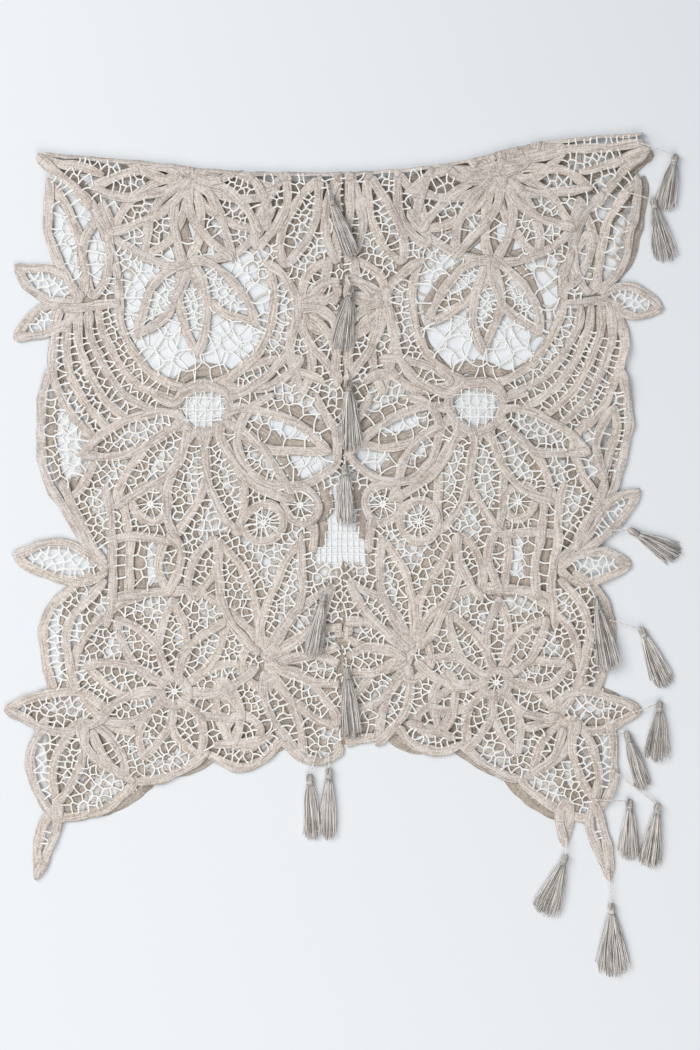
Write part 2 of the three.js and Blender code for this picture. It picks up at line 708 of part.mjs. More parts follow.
function named(name, geometry, finish) {
  const mesh = new THREE.Mesh(geometry, new THREE.MeshStandardMaterial(finish));
  mesh.name = name;
  return mesh;
}

const lace = new THREE.Group();
lace.add(
  named("back_panel", backPanel(), TAPE_FINISH),
  named("shoulder_fold", shoulderFold(), TAPE_FINISH),
  named("front_left_panel", frontPanel(PLACES.frontLeft, []), TAPE_FINISH),
  named("front_right_panel", frontPanel(PLACES.frontRight, RIGHT_LEAVES), TAPE_FINISH),
);

const tassels = new THREE.Group();
for (const row of TASSELS) tassels.add(tassel(row));

const shawl = new THREE.Group();
shawl.add(lace, tassels);

export default shawl;
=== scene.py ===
"""Tape-lace shawl, folded at the shoulder and laid flat: woven tapes, needle-made net and thread tassels.

The tables repeat the part's own sizes in millimetres. Meshes are made in metres in the part's frame.
"""

import math
from collections import namedtuple

import bpy
import numpy as np
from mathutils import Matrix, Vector
from mathutils.geometry import delaunay_2d_cdt


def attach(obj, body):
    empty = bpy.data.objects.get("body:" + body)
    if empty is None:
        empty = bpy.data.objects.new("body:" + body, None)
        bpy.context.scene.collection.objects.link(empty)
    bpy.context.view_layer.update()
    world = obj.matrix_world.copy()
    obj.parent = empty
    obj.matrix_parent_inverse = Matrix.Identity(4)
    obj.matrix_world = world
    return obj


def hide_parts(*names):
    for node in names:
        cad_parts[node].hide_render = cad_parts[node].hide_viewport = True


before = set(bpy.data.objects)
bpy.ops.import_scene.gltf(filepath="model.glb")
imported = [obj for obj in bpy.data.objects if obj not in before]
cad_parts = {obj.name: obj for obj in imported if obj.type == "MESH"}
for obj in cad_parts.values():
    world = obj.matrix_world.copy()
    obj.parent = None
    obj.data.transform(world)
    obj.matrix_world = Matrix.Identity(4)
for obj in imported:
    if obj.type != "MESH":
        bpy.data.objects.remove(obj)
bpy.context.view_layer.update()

MM = 0.001
rng = np.random.default_rng(20)

# Sizes shared with the part
TAPE_WIDTH = 10.5
WALL = 1.6
SEAM_GAP = 0.3
FOLD_RADIUS = 4.2
FOLD_ARM = 5.0
FOLD_EASE = 34.0
FOLD_DEPTH = FOLD_RADIUS + FOLD_ARM
FRONT_BASE = WALL + SEAM_GAP
FOLD_LIFT = 2 * FOLD_RADIUS - WALL - FRONT_BASE
SQUEEZE_SPAN = 600.0
SQUEEZE_TOP = 300.0
PULL_FROM = 230.0
LEAF_BELLY = 0.85
LEAF_FULLNESS = 0.75
LEAF_OVERSHOOT = 4.0
LEAF_BLUNT = 0.8


def table(columns, rows):
    """Rows as named tuples with these columns."""
    kind = namedtuple("Row", columns)
    return [kind(*row) for row in rows]


# The pattern of one half: "out" from the centre line, "up" from the origin, degrees from outward
FANS = table("name out up inner reach first last count width", [
    ("shoulder", 156, 293, 4, 92, -9, -170, 7, 26),
    ("over_fold", 156, 293, 4, 70, 20, 160, 5, 26),
    ("tulip", 153, 207, 2, 90, -54, -138, 3, 27),
    ("inner_points", 46, 166, 8, 56, 128, 218, 4, 18),
    ("inner_drop", 46, 166, 10, 92, -93, -121, 2, 21),
    ("main", 140, 62, 26, 130, -21, -162, 6, 33),
    ("centre_up", 81, -192, 12, 130, 70, 108, 2, 28),
    ("centre_in", 81, -192, 12, 104, 133, 246, 5, 24),
    ("low_up", 171, -220, 12, 88, 14, 166, 5, 27),
    ("low_down", 171, -220, 12, 74, -22, -158, 4, 25),
])
RINGS = table("name out up across tall first last", [
    ("main_eye", 140, 62, 28, 25, 0, 372),
    ("bowl", 148, 170, 78, 88, 18, -205),
    ("bowl_outer", 146, 166, 100, 102, -62, -188),
    ("calyx", 156, 293, 95, 88, -22, -158),
    ("low_arch", 171, -220, 100, 100, -4, 182),
    ("low_eye", 171, -220, 14, 14, 0, 372),
    ("centre_eye", 81, -192, 18, 24, 0, 372),
    ("rosette_a", 81, -54, 20, 20, 0, 372),
    ("rosette_b", 42, -36, 18, 18, 0, 372),
    ("rosette_c", 190, -34, 17, 17, 0, 372),
    ("main_loop", 52, 30, 52, 46, 74, -200),
    ("low_rosette", 100, -262, 17, 15, 0, 372),
])
ARCS = table("name out0 up0 out1 up1 bulge", [
    ("corner", 304, 314, 252, 258, -4),
    ("bowl_rise", 224, 190, 262, 276, 8),
    ("top_edge", 306, 316, 236, 292, 0),
    ("bowl_crescent", 82, 208, 58, 128, -23),
    ("edge_scallop", 290, 100, 250, -80, 30),
    ("edge_inner", 258, 50, 274, -30, -18),
    ("edge_double", 282, -10, 236, -92, 6),
    ("edge_low", 252, -100, 286, -224, 28),
    ("edge_low_in", 238, -108, 262, -224, 24),
    ("edge_corner", 298, -246, 284, -350, 20),
    ("hem_centre", 63, -268, -6, -286, 5),
    ("hem_a", 138, -284, 60, -266, 20),
    ("hem_b", 208, -314, 134, -282, 7),
    ("hem_c", 290, -350, 204, -312, 10),
    ("hem_a_in", 130, -278, 70, -264, 2),
    ("chain_a", 236, -14, 236, -160, -5),
    ("chain_b", 221, -20, 216, -132, -5),
    ("window_top", 238, -70, 168, -70, -4),
    ("window_low", 236, -130, 150, -124, -4),
    ("seam_side", 32, -50, 30, -84, -2),
    ("neck_rise", 74, 236, 92, 298, 6),
    ("low_side", 262, -222, 204, -262, 8),
    ("low_side_b", 250, -258, 206, -314, 9),
    ("loop_tie", 28, 76, -2, 36, 4),
    ("drop_tie", 20, 84, 62, 92, 6),
    ("side_cap", 290, 158, 224, 164, -4),
])
PETALS = table("name out0 up0 out1 up1 width", [
    ("side_leaf_high", 266, 170, 325, 202, 25),
    ("side_leaf_low", 266, 166, 325, 134, 25),
    ("side_up", 264, 176, 294, 288, 28),
    ("side_up_in", 252, 176, 238, 266, 27),
    ("edge_leaf", 240, -98, 326, -86, 33),
    ("low_leaf", 234, -240, 336, -243, 37),
    ("tail", 285, -336, 305, -408, 13),
    ("main_up_in", 112, 82, 44, 108, 25),
    ("neck_a", 58, 206, 24, 290, 25),
    ("neck_b", 84, 222, 54, 294, 22),
    ("neck_c", 4, 210, 4, 294, 27),
    ("chain_leaf", 172, -64, 172, -124, 22),
    ("chain_leaf_b", 128, -70, 150, -132, 22),
    ("hem_leaf_a", 262, -252, 216, -304, 26),
    ("hem_leaf_b", 264, -252, 288, -334, 25),
    ("hem_leaf_c", 120, -210, 112, -276, 24),
])
LADDERS = table("name out0 up0 step_out0 step_up0 out1 up1 step_out1 step_up1 count bulge", [
    ("side", 281, 162, -9, 0, 250, 34, -20, 9, 5, 21),
])
BARS = table("name out up inner reach first last count", [
    ("bowl_bars", 150, 178, 40, 88, -34, -150, 7),
])
BACK_SPINE = table("name out0 up0 out1 up1 bulge", [
    ("spine_upper", 0, 300, 0, -22, 0),
    ("spine_lower", 0, -92, 0, -274, 0),
])
RIGHT_LEAVES = table("name out0 up0 out1 up1 width", [
    ("second_tail", 258, -334, 254, -374, 11),
    ("side_leaf_right", 268, 170, 328, 160, 25),
    ("edge_leaf_right", 240, -98, 309, -96, 30),
    ("edge_fold_right", 252, -76, 317, -24, 25),
])
# Leaves that only show where the right front is rumpled
RIGHT_TUCKS = table("name out0 up0 out1 up1 width", [
    ("tuck_edge", 284, 62, 278, -12, 17),
    ("tuck_side", 250, 236, 226, 178, 15),
])
# The left front's hem comes to a point at the centre
HEM_POINT = table("name out0 up0 out1 up1 bulge", [
    ("hem_to_point", 63, -268, 13, -289, 6),
    ("hem_from_point", 19, -289, -6, -270, 2),
])
SIDE_LEAVES = ("side_leaf_high", "side_leaf_low")
# Forms of the back that lie straight under the left front's
HIDDEN = ("tulip", "bowl", "main_loop", "side_up", "side_up_in", "bowl_rise", "calyx")
FRONT_LEAVES = SIDE_LEAVES + ("edge_leaf", "tail")  # leaves that show in the fronts alone
LEFT_LEAVES = SIDE_LEAVES + ("edge_leaf",)  # leaves that lie in another way on the right
Place = namedtuple("Place", "side squeeze pull dx dy turn without")
FRONT_LEFT = Place(-1, 0.0, 0.0, 0.0, 0.0, 0.0, ("hem_centre",))
FRONT_RIGHT = Place(1, 0.13, 15.0, 0.0, 2.0, 0.0, LEFT_LEAVES)
BACK_LEFT = Place(-1, 0.05, 0.0, 6.0, 5.0, 0.0, FRONT_LEAVES)
BACK_RIGHT = Place(1, 0.13, 12.0, -6.0, 13.0, -2.2, FRONT_LEAVES)

CREST = np.array([(-306, 318), (-190, 308), (-120, 300), (0, 298), (110, 308), (200, 329), (303, 338)], float)

# The part's soft ridges in the fronts
RIDGES = table("name x y direction reach spread height", [
    ("seam_left", -12, 20, 92, 270, 13, 1.6),
    ("seam_right", 14, 10, 88, 280, 14, 2.0),
    ("shoulder_right", 262, 285, 140, 80, 22, 4.5),
    ("edge_right", 250, -95, 84, 120, 20, 3.2),
    ("corner_right", 240, -280, 118, 90, 20, 3.4),
    ("corner_left", -288, -290, 82, 80, 18, 3.6),
    ("corner_left_in", -252, -270, 70, 70, 14, 2.4),
    ("edge_left", -262, 60, 78, 130, 22, 2.2),
    ("hem_left", -110, -268, 8, 90, 20, 2.2),
    ("hem_right", 120, -262, 170, 80, 20, 2.4),
    ("middle_left", -150, -60, 30, 130, 30, 1.8),
    ("middle_right", 170, 40, 146, 140, 30, 2.0),
])
# Smaller creases in the fronts, placed from the photograph
CREASES = table("name x y direction reach spread height", [
    ("right_top_fold", 236, 262, 62, 60, 7, 5.4),
    ("right_top_fold_b", 276, 246, 74, 56, 6, 5.6),
    ("right_top_tuck", 212, 300, 24, 60, 7, 3.6),
    ("right_side_a", 284, 96, 88, 70, 7, 4.4),
    ("right_side_b", 258, 30, 70, 60, 8, 3.6),
    ("right_mid_a", 226, -66, 52, 50, 7, 4.4),
    ("right_mid_b", 196, -118, 16, 60, 8, 3.4),
    ("right_low_a", 214, -176, 60, 52, 8, 4.0),
    ("right_low_b", 246, -214, 100, 46, 7, 2.4),
    ("right_low_c", 196, -262, 128, 52, 8, 3.8),
    ("right_seam_a", 44, 214, 70, 70, 8, 1.6),
    ("right_seam_b", 60, 120, 40, 50, 8, 1.5),
    ("left_seam_a", -44, 216, 112, 64, 8, 1.5),
    ("left_seam_b", -62, -36, 150, 56, 9, 1.6),
    ("left_side_a", -284, 120, 84, 70, 8, 2.6),
    ("left_side_b", -246, 40, 66, 60, 8, 2.4),
    ("left_low_a", -254, -150, 70, 60, 8, 2.8),
    ("left_low_b", -190, -196, 24, 56, 9, 2.6),
    ("left_low_c", -286, -246, 10, 44, 8, 3.0),
    ("left_hem", -60, -236, 140, 56, 9, 2.2),
    ("left_top", -206, 276, 148, 54, 8, 2.6),
    ("left_top_b", -92, 268, 40, 50, 8, 1.4),
])

# Tassels: tie, head, heading of the skirt, length, fan, and what the tassel lies on
TASSELS = table("name tie_x tie_y head_x head_y heading length fan on", [
    ("seam_1", -16, 284, -12, 268, -69, 54, 17, "front"),
    ("seam_2", 4, 192, 7, 178, -99, 54, 21, "front"),
    ("seam_3", 4, 98, 6, 84, -89, 60, 23, "front"),
    ("seam_4", 2, 12, 2, 0, -90, 50, 17, "front"),
    ("seam_5", -14, -114, -20, -129, -101, 54, 19, "front"),
    ("seam_6", 3, -188, 4, -203, -85, 60, 19, "front"),
    ("hem_left", -26, -281, -33, -309, -87, 55, 15, "surface"),
    ("hem_right", -14, -283, -14, -303, -91, 60, 15, "surface"),
    ("corner_top", 294, 326, 331, 310, -101, 46, 19, "surface"),
    ("edge_1", 284, 276, 310, 266, -77, 54, 23, "surface"),
    ("edge_2", 268, -60, 290, -62, -28, 46, 22, "surface"),
    ("edge_3", 245, -114, 253, -134, -79, 62, 23, "front"),
    ("edge_4", 267, -150, 299, -162, -66, 54, 21, "surface"),
    ("edge_5", 290, -242, 316, -236, -92, 50, 24, "surface"),
    ("edge_6", 261, -264, 284, -266, -72, 50, 16, "surface"),
    ("edge_7", 253, -329, 286, -334, -90, 50, 20, "surface"),
    ("edge_8", 270, -300, 314, -338, -98, 54, 22, "surface"),
    ("tail_short", 223, -368, 221, -389, -110, 54, 29, "surface"),
    ("tail_long", 265, -400, 268, -438, -88, 62, 32, "surface"),
])
HEAD_RADIUS = 4.0
HEAD_LENGTH = 11.0
KNOT_RADIUS = 1.9
REST_GAP = 0.35

# Sizes of the looks
SHOWN_WIDTH = 9.9  # width of a front tape as it shows
BACK_SWELL = 1.28  # how much wider the back's inner tapes show
FRONT_STEP = 3.0  # length of a tape between two sections, in the fronts
BACK_STEP = 4.0
LEAF_SECTIONS = 8  # least number of stretches in the side of a leaf
TAPE_SECTIONS = 3  # and in any other tape
ARC_POINTS = 40
RING_POINTS = 90
LEVELS = 0.9  # height over which crossing tapes are stacked
LEAST_HEIGHT = 0.05  # of anything over the surface that the shawl lies on
GOLDEN = 0.618034  # spreads levels and tones evenly over the tapes
TINY = 1e-6
END_SHARE = 0.45  # width of a tape's tucked end as a share of its width
END_TAPER = 12.0  # length over which it narrows
CREST_REACH = 301  # how far the crest's tape runs to either side
SEAM_TAPE_REACH = 288  # how far the seam's tape runs to either side
RIGHT_SEAM_FROM = 120  # where the right front's seam tape starts
FRONT_PHASE = 0.4  # where the waves of the fronts' unevenness start
BACK_PHASE = 2.9

Tape = namedtuple("Tape", "name path half")


def waves(run, start, rows):
    """A sum of sine waves, each a row of height, length over a radian, and share of the start."""
    return sum(height * np.sin(run / length + share * start) for height, length, share in rows)


# Pattern

def unit(degrees):
    a = math.radians(degrees)
    return np.array([math.cos(a), math.sin(a)])


def spread(first, last, count, k):
    return first + (last - first) * k / (count - 1) if count > 1 else first


def running(path):
    """Length along a flat path up to each of its points."""
    return np.r_[0, np.cumsum(np.hypot(*np.diff(path, axis=0).T))]


def leaf_sides(name, root, tip, width, step):
    """The two tapes of a leaf, which meet in a point at both ends."""
    run = tip - root
    length = np.hypot(*run)
    along = run / length
    across = np.array([-along[1], along[0]])
    reach = length + 2 * LEAF_OVERSHOOT
    t = np.linspace(0, 1, max(LEAF_SECTIONS, round(reach / step)) + 1)
    swell = np.sin(np.pi * t ** LEAF_BELLY).clip(0) ** LEAF_FULLNESS
    outer = LEAF_BLUNT + ((width + TAPE_WIDTH) / 2 - LEAF_BLUNT) * swell
    half = np.minimum(SHOWN_WIDTH / 2, outer)
    off = np.maximum(outer - half, 0)
    middle = root - along * LEAF_OVERSHOOT + np.outer(t * reach, along)
    return [Tape(name, middle + sign * np.outer(off, across), half) for sign in (1, -1)]


def plain_tape(name, path, step):
    run = running(path)
    at = np.linspace(0, run[-1], max(TAPE_SECTIONS, round(run[-1] / step)) + 1)
    even = np.stack([np.interp(at, run, path[:, 0]), np.interp(at, run, path[:, 1])], 1)
    from_end = np.minimum(at, run[-1] - at)
    return Tape(name, even, SHOWN_WIDTH / 2 * np.minimum(1, END_SHARE + from_end / END_TAPER))


def arc_path(start, end, bulge):
    t = np.linspace(0, 1, ARC_POINTS)[:, None]
    run = end - start
    across = np.array([-run[1], run[0]]) / np.hypot(*run)
    return start + run * t + across * bulge * 4 * t * (1 - t)


def ring_path(row):
    a = np.radians(np.linspace(row.first, row.last, RING_POINTS))
    return np.stack([row.out + row.across * np.cos(a), row.up + row.tall * np.sin(a)], 1)


def fan_rays(fan):
    centre = np.array([fan.out, fan.up], float)
    for k in range(fan.count):
        d = unit(spread(fan.first, fan.last, fan.count, k))
        yield centre + d * fan.inner, centre + d * fan.reach


def ends_of(row):
    return np.array([row.out0, row.up0], float), np.array([row.out1, row.up1], float)


def half_pattern(without, own_leaves, own_arcs, step):
    tapes = []
    for fan in FANS:
        for root, tip in fan_rays(fan):
            tapes += leaf_sides(fan.name, root, tip, fan.width, step)
    for row in PETALS + own_leaves:
        if row.name not in without:
            tapes += leaf_sides(row.name, *ends_of(row), row.width, step)
    for row in RINGS:
        tapes.append(plain_tape(row.name, ring_path(row), step))
    for row in ARCS + own_arcs:
        if row.name not in without:
            tapes.append(plain_tape(row.name, arc_path(*ends_of(row), row.bulge), step))
    for row in LADDERS:
        for k in range(row.count):
            start = np.array([row.out0 + k * row.step_out0, row.up0 + k * row.step_up0], float)
            end = np.array([row.out1 + k * row.step_out1, row.up1 + k * row.step_up1], float)
            tapes.append(plain_tape(row.name, arc_path(start, end, row.bulge), step))
    return tapes


def lowness(up):
    """0 at the shoulder and 1 at the hem."""
    return np.clip((SQUEEZE_TOP - up) / SQUEEZE_SPAN, 0, 1)


def hem_pull(out, low, place):
    """How far the hem is pulled up near the centre."""
    return place.pull * low ** 4 * np.sqrt(np.clip(1 - out / PULL_FROM, 0, 1))


def placed(points, place):
    """Points of the half pattern where a panel has them."""
    low = lowness(points[:, 1])
    x = place.side * points[:, 0] * (1 - place.squeeze * low)
    y = points[:, 1] + hem_pull(points[:, 0], low, place)
    c, s = unit(place.turn)
    return np.stack([x * c - y * s + place.dx, x * s + y * c + place.dy], 1)


def centre_of(row, place):
    """The centre of a row of the half pattern where a panel has it, as one row of points."""
    return placed(np.array([[row.out, row.up]], float), place)


def half_coordinates(x, y, place):
    """Where a panel's points lie in the half pattern, near enough to find its windows."""
    c, s = unit(place.turn)
    px, py = x - place.dx, y - place.dy
    qx, qy = px * c + py * s, py * c - px * s
    low = lowness(qy)
    out = place.side * qx / (1 - place.squeeze * low)
    return out, qy - hem_pull(out, low, place)


# Unevenness of lace laid down by hand: height of each wave, its lengths over x and y, its share of the phase
LAID_OUT = ((1.7, 27, 39, 1.0), (1.1, 31, 12, 2.0))
LAID_UP = ((1.7, 37, -25, 1.7), (1.1, 11, -43, 1.0))


def laid(points, phase):
    """Points as they come to lie with that unevenness."""
    x, y = points.T

    def shift(rows):
        return sum(height * np.sin(x / over_x + y / over_y + share * phase)
                   for height, over_x, over_y, share in rows)

    return points + np.stack([shift(LAID_OUT), shift(LAID_UP)], 1)


# The sheet that a panel follows

CREST_STEPS = 16  # stretches between two points of the crest


def crest_curve():
    """The crest as a smooth line through its points."""
    fine = []
    for k in range(len(CREST) - 1):
        p0, p1 = CREST[max(k - 1, 0)], CREST[k]
        p2, p3 = CREST[k + 1], CREST[min(k + 2, len(CREST) - 1)]
        v0, v1 = (p2 - p0) / 2, (p3 - p1) / 2
        t = np.linspace(0, 1, CREST_STEPS, endpoint=False)[:, None]
        cubic, square = 2 * p1 - 2 * p2 + v0 + v1, 3 * p2 - 3 * p1 - 2 * v0 - v1
        fine.append(cubic * t ** 3 + square * t ** 2 + v0 * t + p1)
    return np.vstack(fine + [CREST[-1:]])


CREST_LINE = crest_curve()


def crest_at(x):
    return np.interp(x, CREST_LINE[:, 0], CREST_LINE[:, 1])


def crest_side(side, reach):
    """The crest of one half, as far as reach from the centre."""
    x = CREST_LINE[:, 0]
    return CREST_LINE[(x * side > -1) & (np.abs(x) < reach)]


def ridge_height(rows, x, y):
    total = np.zeros(np.shape(x))
    for row in rows:
        d = unit(row.direction)
        along = ((x - row.x) * d[0] + (y - row.y) * d[1]) / row.reach
        across = ((y - row.y) * d[0] - (x - row.x) * d[1]) / row.spread
        total += row.height * np.clip(1 - along ** 2, 0, None) ** 2 * np.exp(-across ** 2)
    return total


def front_lift(x, y, rows):
    away = np.maximum(0, crest_at(x) - FOLD_DEPTH - y) / FOLD_EASE
    near_fold = np.exp(-away ** 2)
    return FOLD_LIFT * near_fold + ridge_height(rows, x, y) * (1 - near_fold)


FOLD_NEUTRAL = FOLD_RADIUS - WALL / 2  # radius at which the lace keeps its length round the fold
FOLD_LENGTH = 2 * FOLD_ARM + math.pi * FOLD_NEUTRAL  # lace from seam to seam
CREST_TAPE = FOLD_LENGTH / 2 - 1.5  # place of the tape along the fold, a little before its middle


def past_seam(x, y):
    return y - (crest_at(x) - FOLD_DEPTH)


def front_sheet(x, y, h):
    """A point of the fronts' flat lace, h above its underside, in space.

    Beyond the seam the lace turns round the fold.
    """
    z = FRONT_BASE + front_lift(x, y, RIDGES + CREASES) + h
    s = past_seam(x, y)
    radius = FOLD_RADIUS - WALL + h
    centre = crest_at(x) - FOLD_RADIUS
    a = np.clip((s - FOLD_ARM) / FOLD_NEUTRAL, 0, math.pi)
    under = np.maximum(0, s - FOLD_ARM - math.pi * FOLD_NEUTRAL)
    return np.stack([
        x,
        np.where(s > FOLD_ARM, centre + radius * np.sin(a) - under, y),
        np.where(s > 0, FOLD_RADIUS + radius * np.cos(a), z),
    ], -1)


def back_sheet(x, y, h):
    return np.stack([x, y, h], -1)


# Meshes from arrays

def mesh_object(name, points, faces, attributes, material, smooth):
    """An object from points in millimetres and lists of face arrays, one array for each number of corners."""
    points[:, 2] = np.maximum(points[:, 2], LEAST_HEIGHT)
    mesh = bpy.data.meshes.new(name)
    mesh.vertices.add(len(points))
    mesh.vertices.foreach_set("co", (points * MM).astype(np.float32).ravel())
    corners = np.concatenate([f.ravel() for f in faces])
    sizes = np.concatenate([np.full(len(f), f.shape[1]) for f in faces])
    mesh.loops.add(len(corners))
    mesh.loops.foreach_set("vertex_index", corners.astype(np.int32))
    mesh.polygons.add(len(sizes))
    mesh.polygons.foreach_set("loop_start", np.r_[0, np.cumsum(sizes)[:-1]].astype(np.int32))
    mesh.polygons.foreach_set("use_smooth", np.full(len(sizes), smooth))
    for key, values in attributes.items():
        layer = mesh.attributes.new(key, "FLOAT", "POINT")
        layer.data.foreach_set("value", values.astype(np.float32))
    mesh.update(calc_edges=True)
    mesh.materials.append(material)
    obj = bpy.data.objects.new(name, mesh)
    bpy.context.scene.collection.objects.link(obj)
    return obj


def tube_faces(rings, size):
    """Quads round a tube whose rings have this many points, and triangles that close its ends."""
    k = np.arange(rings - 1)[:, None] * size
    i = np.arange(size)[None, :]
    j = (i + 1) % size
    quads = np.stack([k + i, k + i + size, k + j + size, k + j], -1).reshape(-1, 4)
    fan = np.stack([np.zeros(size - 2, int), np.arange(1, size - 1), np.arange(2, size)], 1)
    return quads, np.vstack([fan, fan[:, ::-1] + (rings - 1) * size])


class Gather:
    """Collects many closed tubes with their attributes for one mesh."""

    def __init__(self):
        self.points, self.quads, self.tris, self.values = [], [], [], []
        self.count = 0

    def add(self, points, values, rings, size):
        """Adds one or more tubes of equal length, each with this many rings of size points."""
        quads, tris = tube_faces(rings, size)
        starts = self.count + np.arange(0, len(points), rings * size)[:, None, None]
        self.points.append(points)
        self.quads.append((starts + quads).reshape(-1, 4))
        self.tris.append((starts + tris).reshape(-1, 3))
        self.values.append(values)
        self.count += len(points)

    def build(self, name, keys, material, smooth=True):
        values = np.vstack(self.values)
        columns = {key: values[:, i] for i, key in enumerate(keys)}
        faces = [np.vstack(self.quads), np.vstack(self.tris)]
        return mesh_object(name, np.vstack(self.points), faces, columns, material, smooth)


# Tapes

TAPE_KEYS = ("along", "across", "tone")
# Section of a tape: place across and height, both edges thickened
SECTION = np.array([(-1, 0), (-0.86, 0.34), (0, 0.26), (0.86, 0.34), (1, 0), (0.5, -0.3), (-0.5, -0.3)])
TAPE_MIDDLE = 0.42  # height of the lowest tape's middle over the panel's underside
LEAST_MIDDLE = 0.36  # height that a puckered tape keeps
WIDTH_WAVES = ((0.09, 7.3, 2.1), (0.06, 3.1, 1.0))
PATH_WAVES = ((0.6, 12, 1.3), (0.35, 4.9, 1.0))
PUCKER_LEAST, PUCKER_RANGE, PUCKER_STEP = 9, 7, 0.37  # length of a tape's puckers, from tape to tape
TILT = 0.3  # how far a tape's edge rises
TONE_SHIFT = 97  # how far the weave's pattern is shifted from tape to tape


def ribbon(gather, tape, level, sheet, seed):
    """One tape as a thin closed strip on a sheet."""
    run = running(tape.path)
    ahead = np.gradient(tape.path, axis=0)
    ahead /= np.maximum(np.hypot(*ahead.T), TINY)[:, None]
    across = np.stack([-ahead[:, 1], ahead[:, 0]], 1)
    u, lift = SECTION.T
    half = tape.half * (1 + waves(run, seed, WIDTH_WAVES))
    path = tape.path + across * waves(run, seed, PATH_WAVES)[:, None]
    xy = path[:, None, :] + across[:, None, :] * (half[:, None] * u)[..., None]
    length = PUCKER_LEAST + PUCKER_RANGE * (seed * PUCKER_STEP % 1)
    pucker = waves(run, seed, ((0.26, length / 2.1, 1.0), (0.2, 3.9, 1.7)))[:, None]
    tilt = TILT * np.sin(run / (1.7 * length) + 2.3 * seed)[:, None]
    h = np.maximum(TAPE_MIDDLE + level + lift + pucker + tilt * u, LEAST_MIDDLE + lift)
    count, size = len(path), len(SECTION)
    tone = seed * GOLDEN % 1
    values = np.stack([
        np.repeat(run + TONE_SHIFT * tone, size),
        (half[:, None] * u).ravel(),
        np.full(count * size, tone),
    ], 1)
    gather.add(sheet(xy[..., 0].ravel(), xy[..., 1].ravel(), h.ravel()), values, count, size)


# Panels of tape

LEAST_RUN = 3  # sections that a stretch of tape needs
OVER_CENTRE = 2.0  # how far past the centre a crossing tape is still bent back
STEEP = 0.6  # share of its run from which a tape lies along the opening
OPENING_LEAST = 1.3  # how far the fronts' edges stay from the centre
OPENING_WAVES = ((0.9, 23, 1.0), (0.4, 9, -2.0))
LEAST_STEP = 0.4  # sections closer than this are dropped


def true_runs(keep):
    """Start and stop of each stretch where keep is true."""
    edges = np.flatnonzero(np.diff(np.r_[False, keep, False].astype(int)))
    return zip(edges[::2], edges[1::2])


def cut_runs(tape, keep):
    """The stretches of a tape where keep is true."""
    for start, stop in true_runs(keep):
        if stop - start >= LEAST_RUN:
            yield Tape(tape.name, tape.path[start:stop], tape.half[start:stop])


def along_opening(tape, side):
    """A front's tape kept on its side of the opening, whose edge wanders a little."""
    ahead = np.gradient(tape.path, axis=0)
    steep = np.abs(ahead[:, 1]) / np.maximum(np.hypot(*ahead.T), TINY)
    wander = OPENING_LEAST + waves(tape.path[:, 1], side, OPENING_WAVES)
    least = SEAM_GAP + steep * tape.half + wander
    keep = (side * tape.path[:, 0] > least - OVER_CENTRE) | (steep > STEEP)
    path = tape.path.copy()
    path[:, 0] = side * np.maximum(side * path[:, 0], least)
    keep &= np.r_[True, np.hypot(*np.diff(path, axis=0).T) > LEAST_STEP]
    yield from cut_runs(Tape(tape.name, path, tape.half), keep)


def opened(points, place):
    """Points pushed out of the fronts' open eyes, so that a tape runs round them."""
    for row in EYES:
        centre = centre_of(row, place)[0]
        away = points - centre
        r = np.maximum(np.hypot(*away.T), 0.1)
        pushed = np.where(r < row.reach, row.clear + r * (1 - row.clear / row.reach), r)
        points = centre + away * (pushed / r)[:, None]
    return points


def front_tapes(place, own_leaves, own_arcs):
    """A front's tapes in its flat lace. Those at the centre run along the opening."""
    tapes = []
    for tape in half_pattern(place.without, own_leaves, own_arcs, FRONT_STEP):
        path = laid(placed(tape.path, place), FRONT_PHASE)
        if tape.name == "bowl_outer":
            path = opened(path, place)
        tapes.append(Tape(tape.name, path, tape.half))
    crest = crest_side(place.side, CREST_REACH)
    tapes.append(plain_tape("crest_tape", crest + [0, CREST_TAPE - FOLD_DEPTH], FRONT_STEP))
    if place.side > 0:
        seam = crest[crest[:, 0] > RIGHT_SEAM_FROM] - [0, FOLD_DEPTH + TAPE_WIDTH / 2]
        tapes.append(plain_tape("seam_tape", laid(seam, FRONT_PHASE), FRONT_STEP))
    return [run for tape in tapes for run in along_opening(tape, place.side)]


def back_tapes(place, front, spine):
    """The tapes of one half of the back. Those that the left front hides lie straight under its own."""
    tapes = []
    for tape in half_pattern(place.without, [], [], BACK_STEP):
        if place.side < 0 and tape.name in HIDDEN:
            path = laid(placed(tape.path, front), FRONT_PHASE)
        else:
            path = opened(laid(placed(tape.path, place), BACK_PHASE), front)
        swell = 1.0 if tape.name.startswith(("hem", "edge", "corner") + HIDDEN) else BACK_SWELL
        own_side = place.side * path[:, 0] > -OVER_CENTRE
        tapes += cut_runs(Tape(tape.name, path, tape.half * swell), own_side)
    seam = crest_side(place.side, SEAM_TAPE_REACH) - [0, FOLD_DEPTH + TAPE_WIDTH / 2]
    tapes.append(plain_tape("seam_tape", seam, BACK_STEP))
    for row in spine:
        path = laid(arc_path(*ends_of(row), row.bulge), BACK_PHASE)
        tapes.append(plain_tape(row.name, path, BACK_STEP))
    return tapes


def seam_split(tape):
    """A front's tape with a section exactly on the seam with the fold."""
    s = past_seam(*tape.path.T)
    crossings = np.flatnonzero(s[:-1] * s[1:] < 0)
    path, half = tape.path, tape.half
    for i in crossings[::-1]:
        t = s[i] / (s[i] - s[i + 1])
        path = np.insert(path, i + 1, tape.path[i] * (1 - t) + tape.path[i + 1] * t, axis=0)
        half = np.insert(half, i + 1, tape.half[i] * (1 - t) + tape.half[i + 1] * t)
    return Tape(tape.name, path, half)


# Net of thread in the gaps

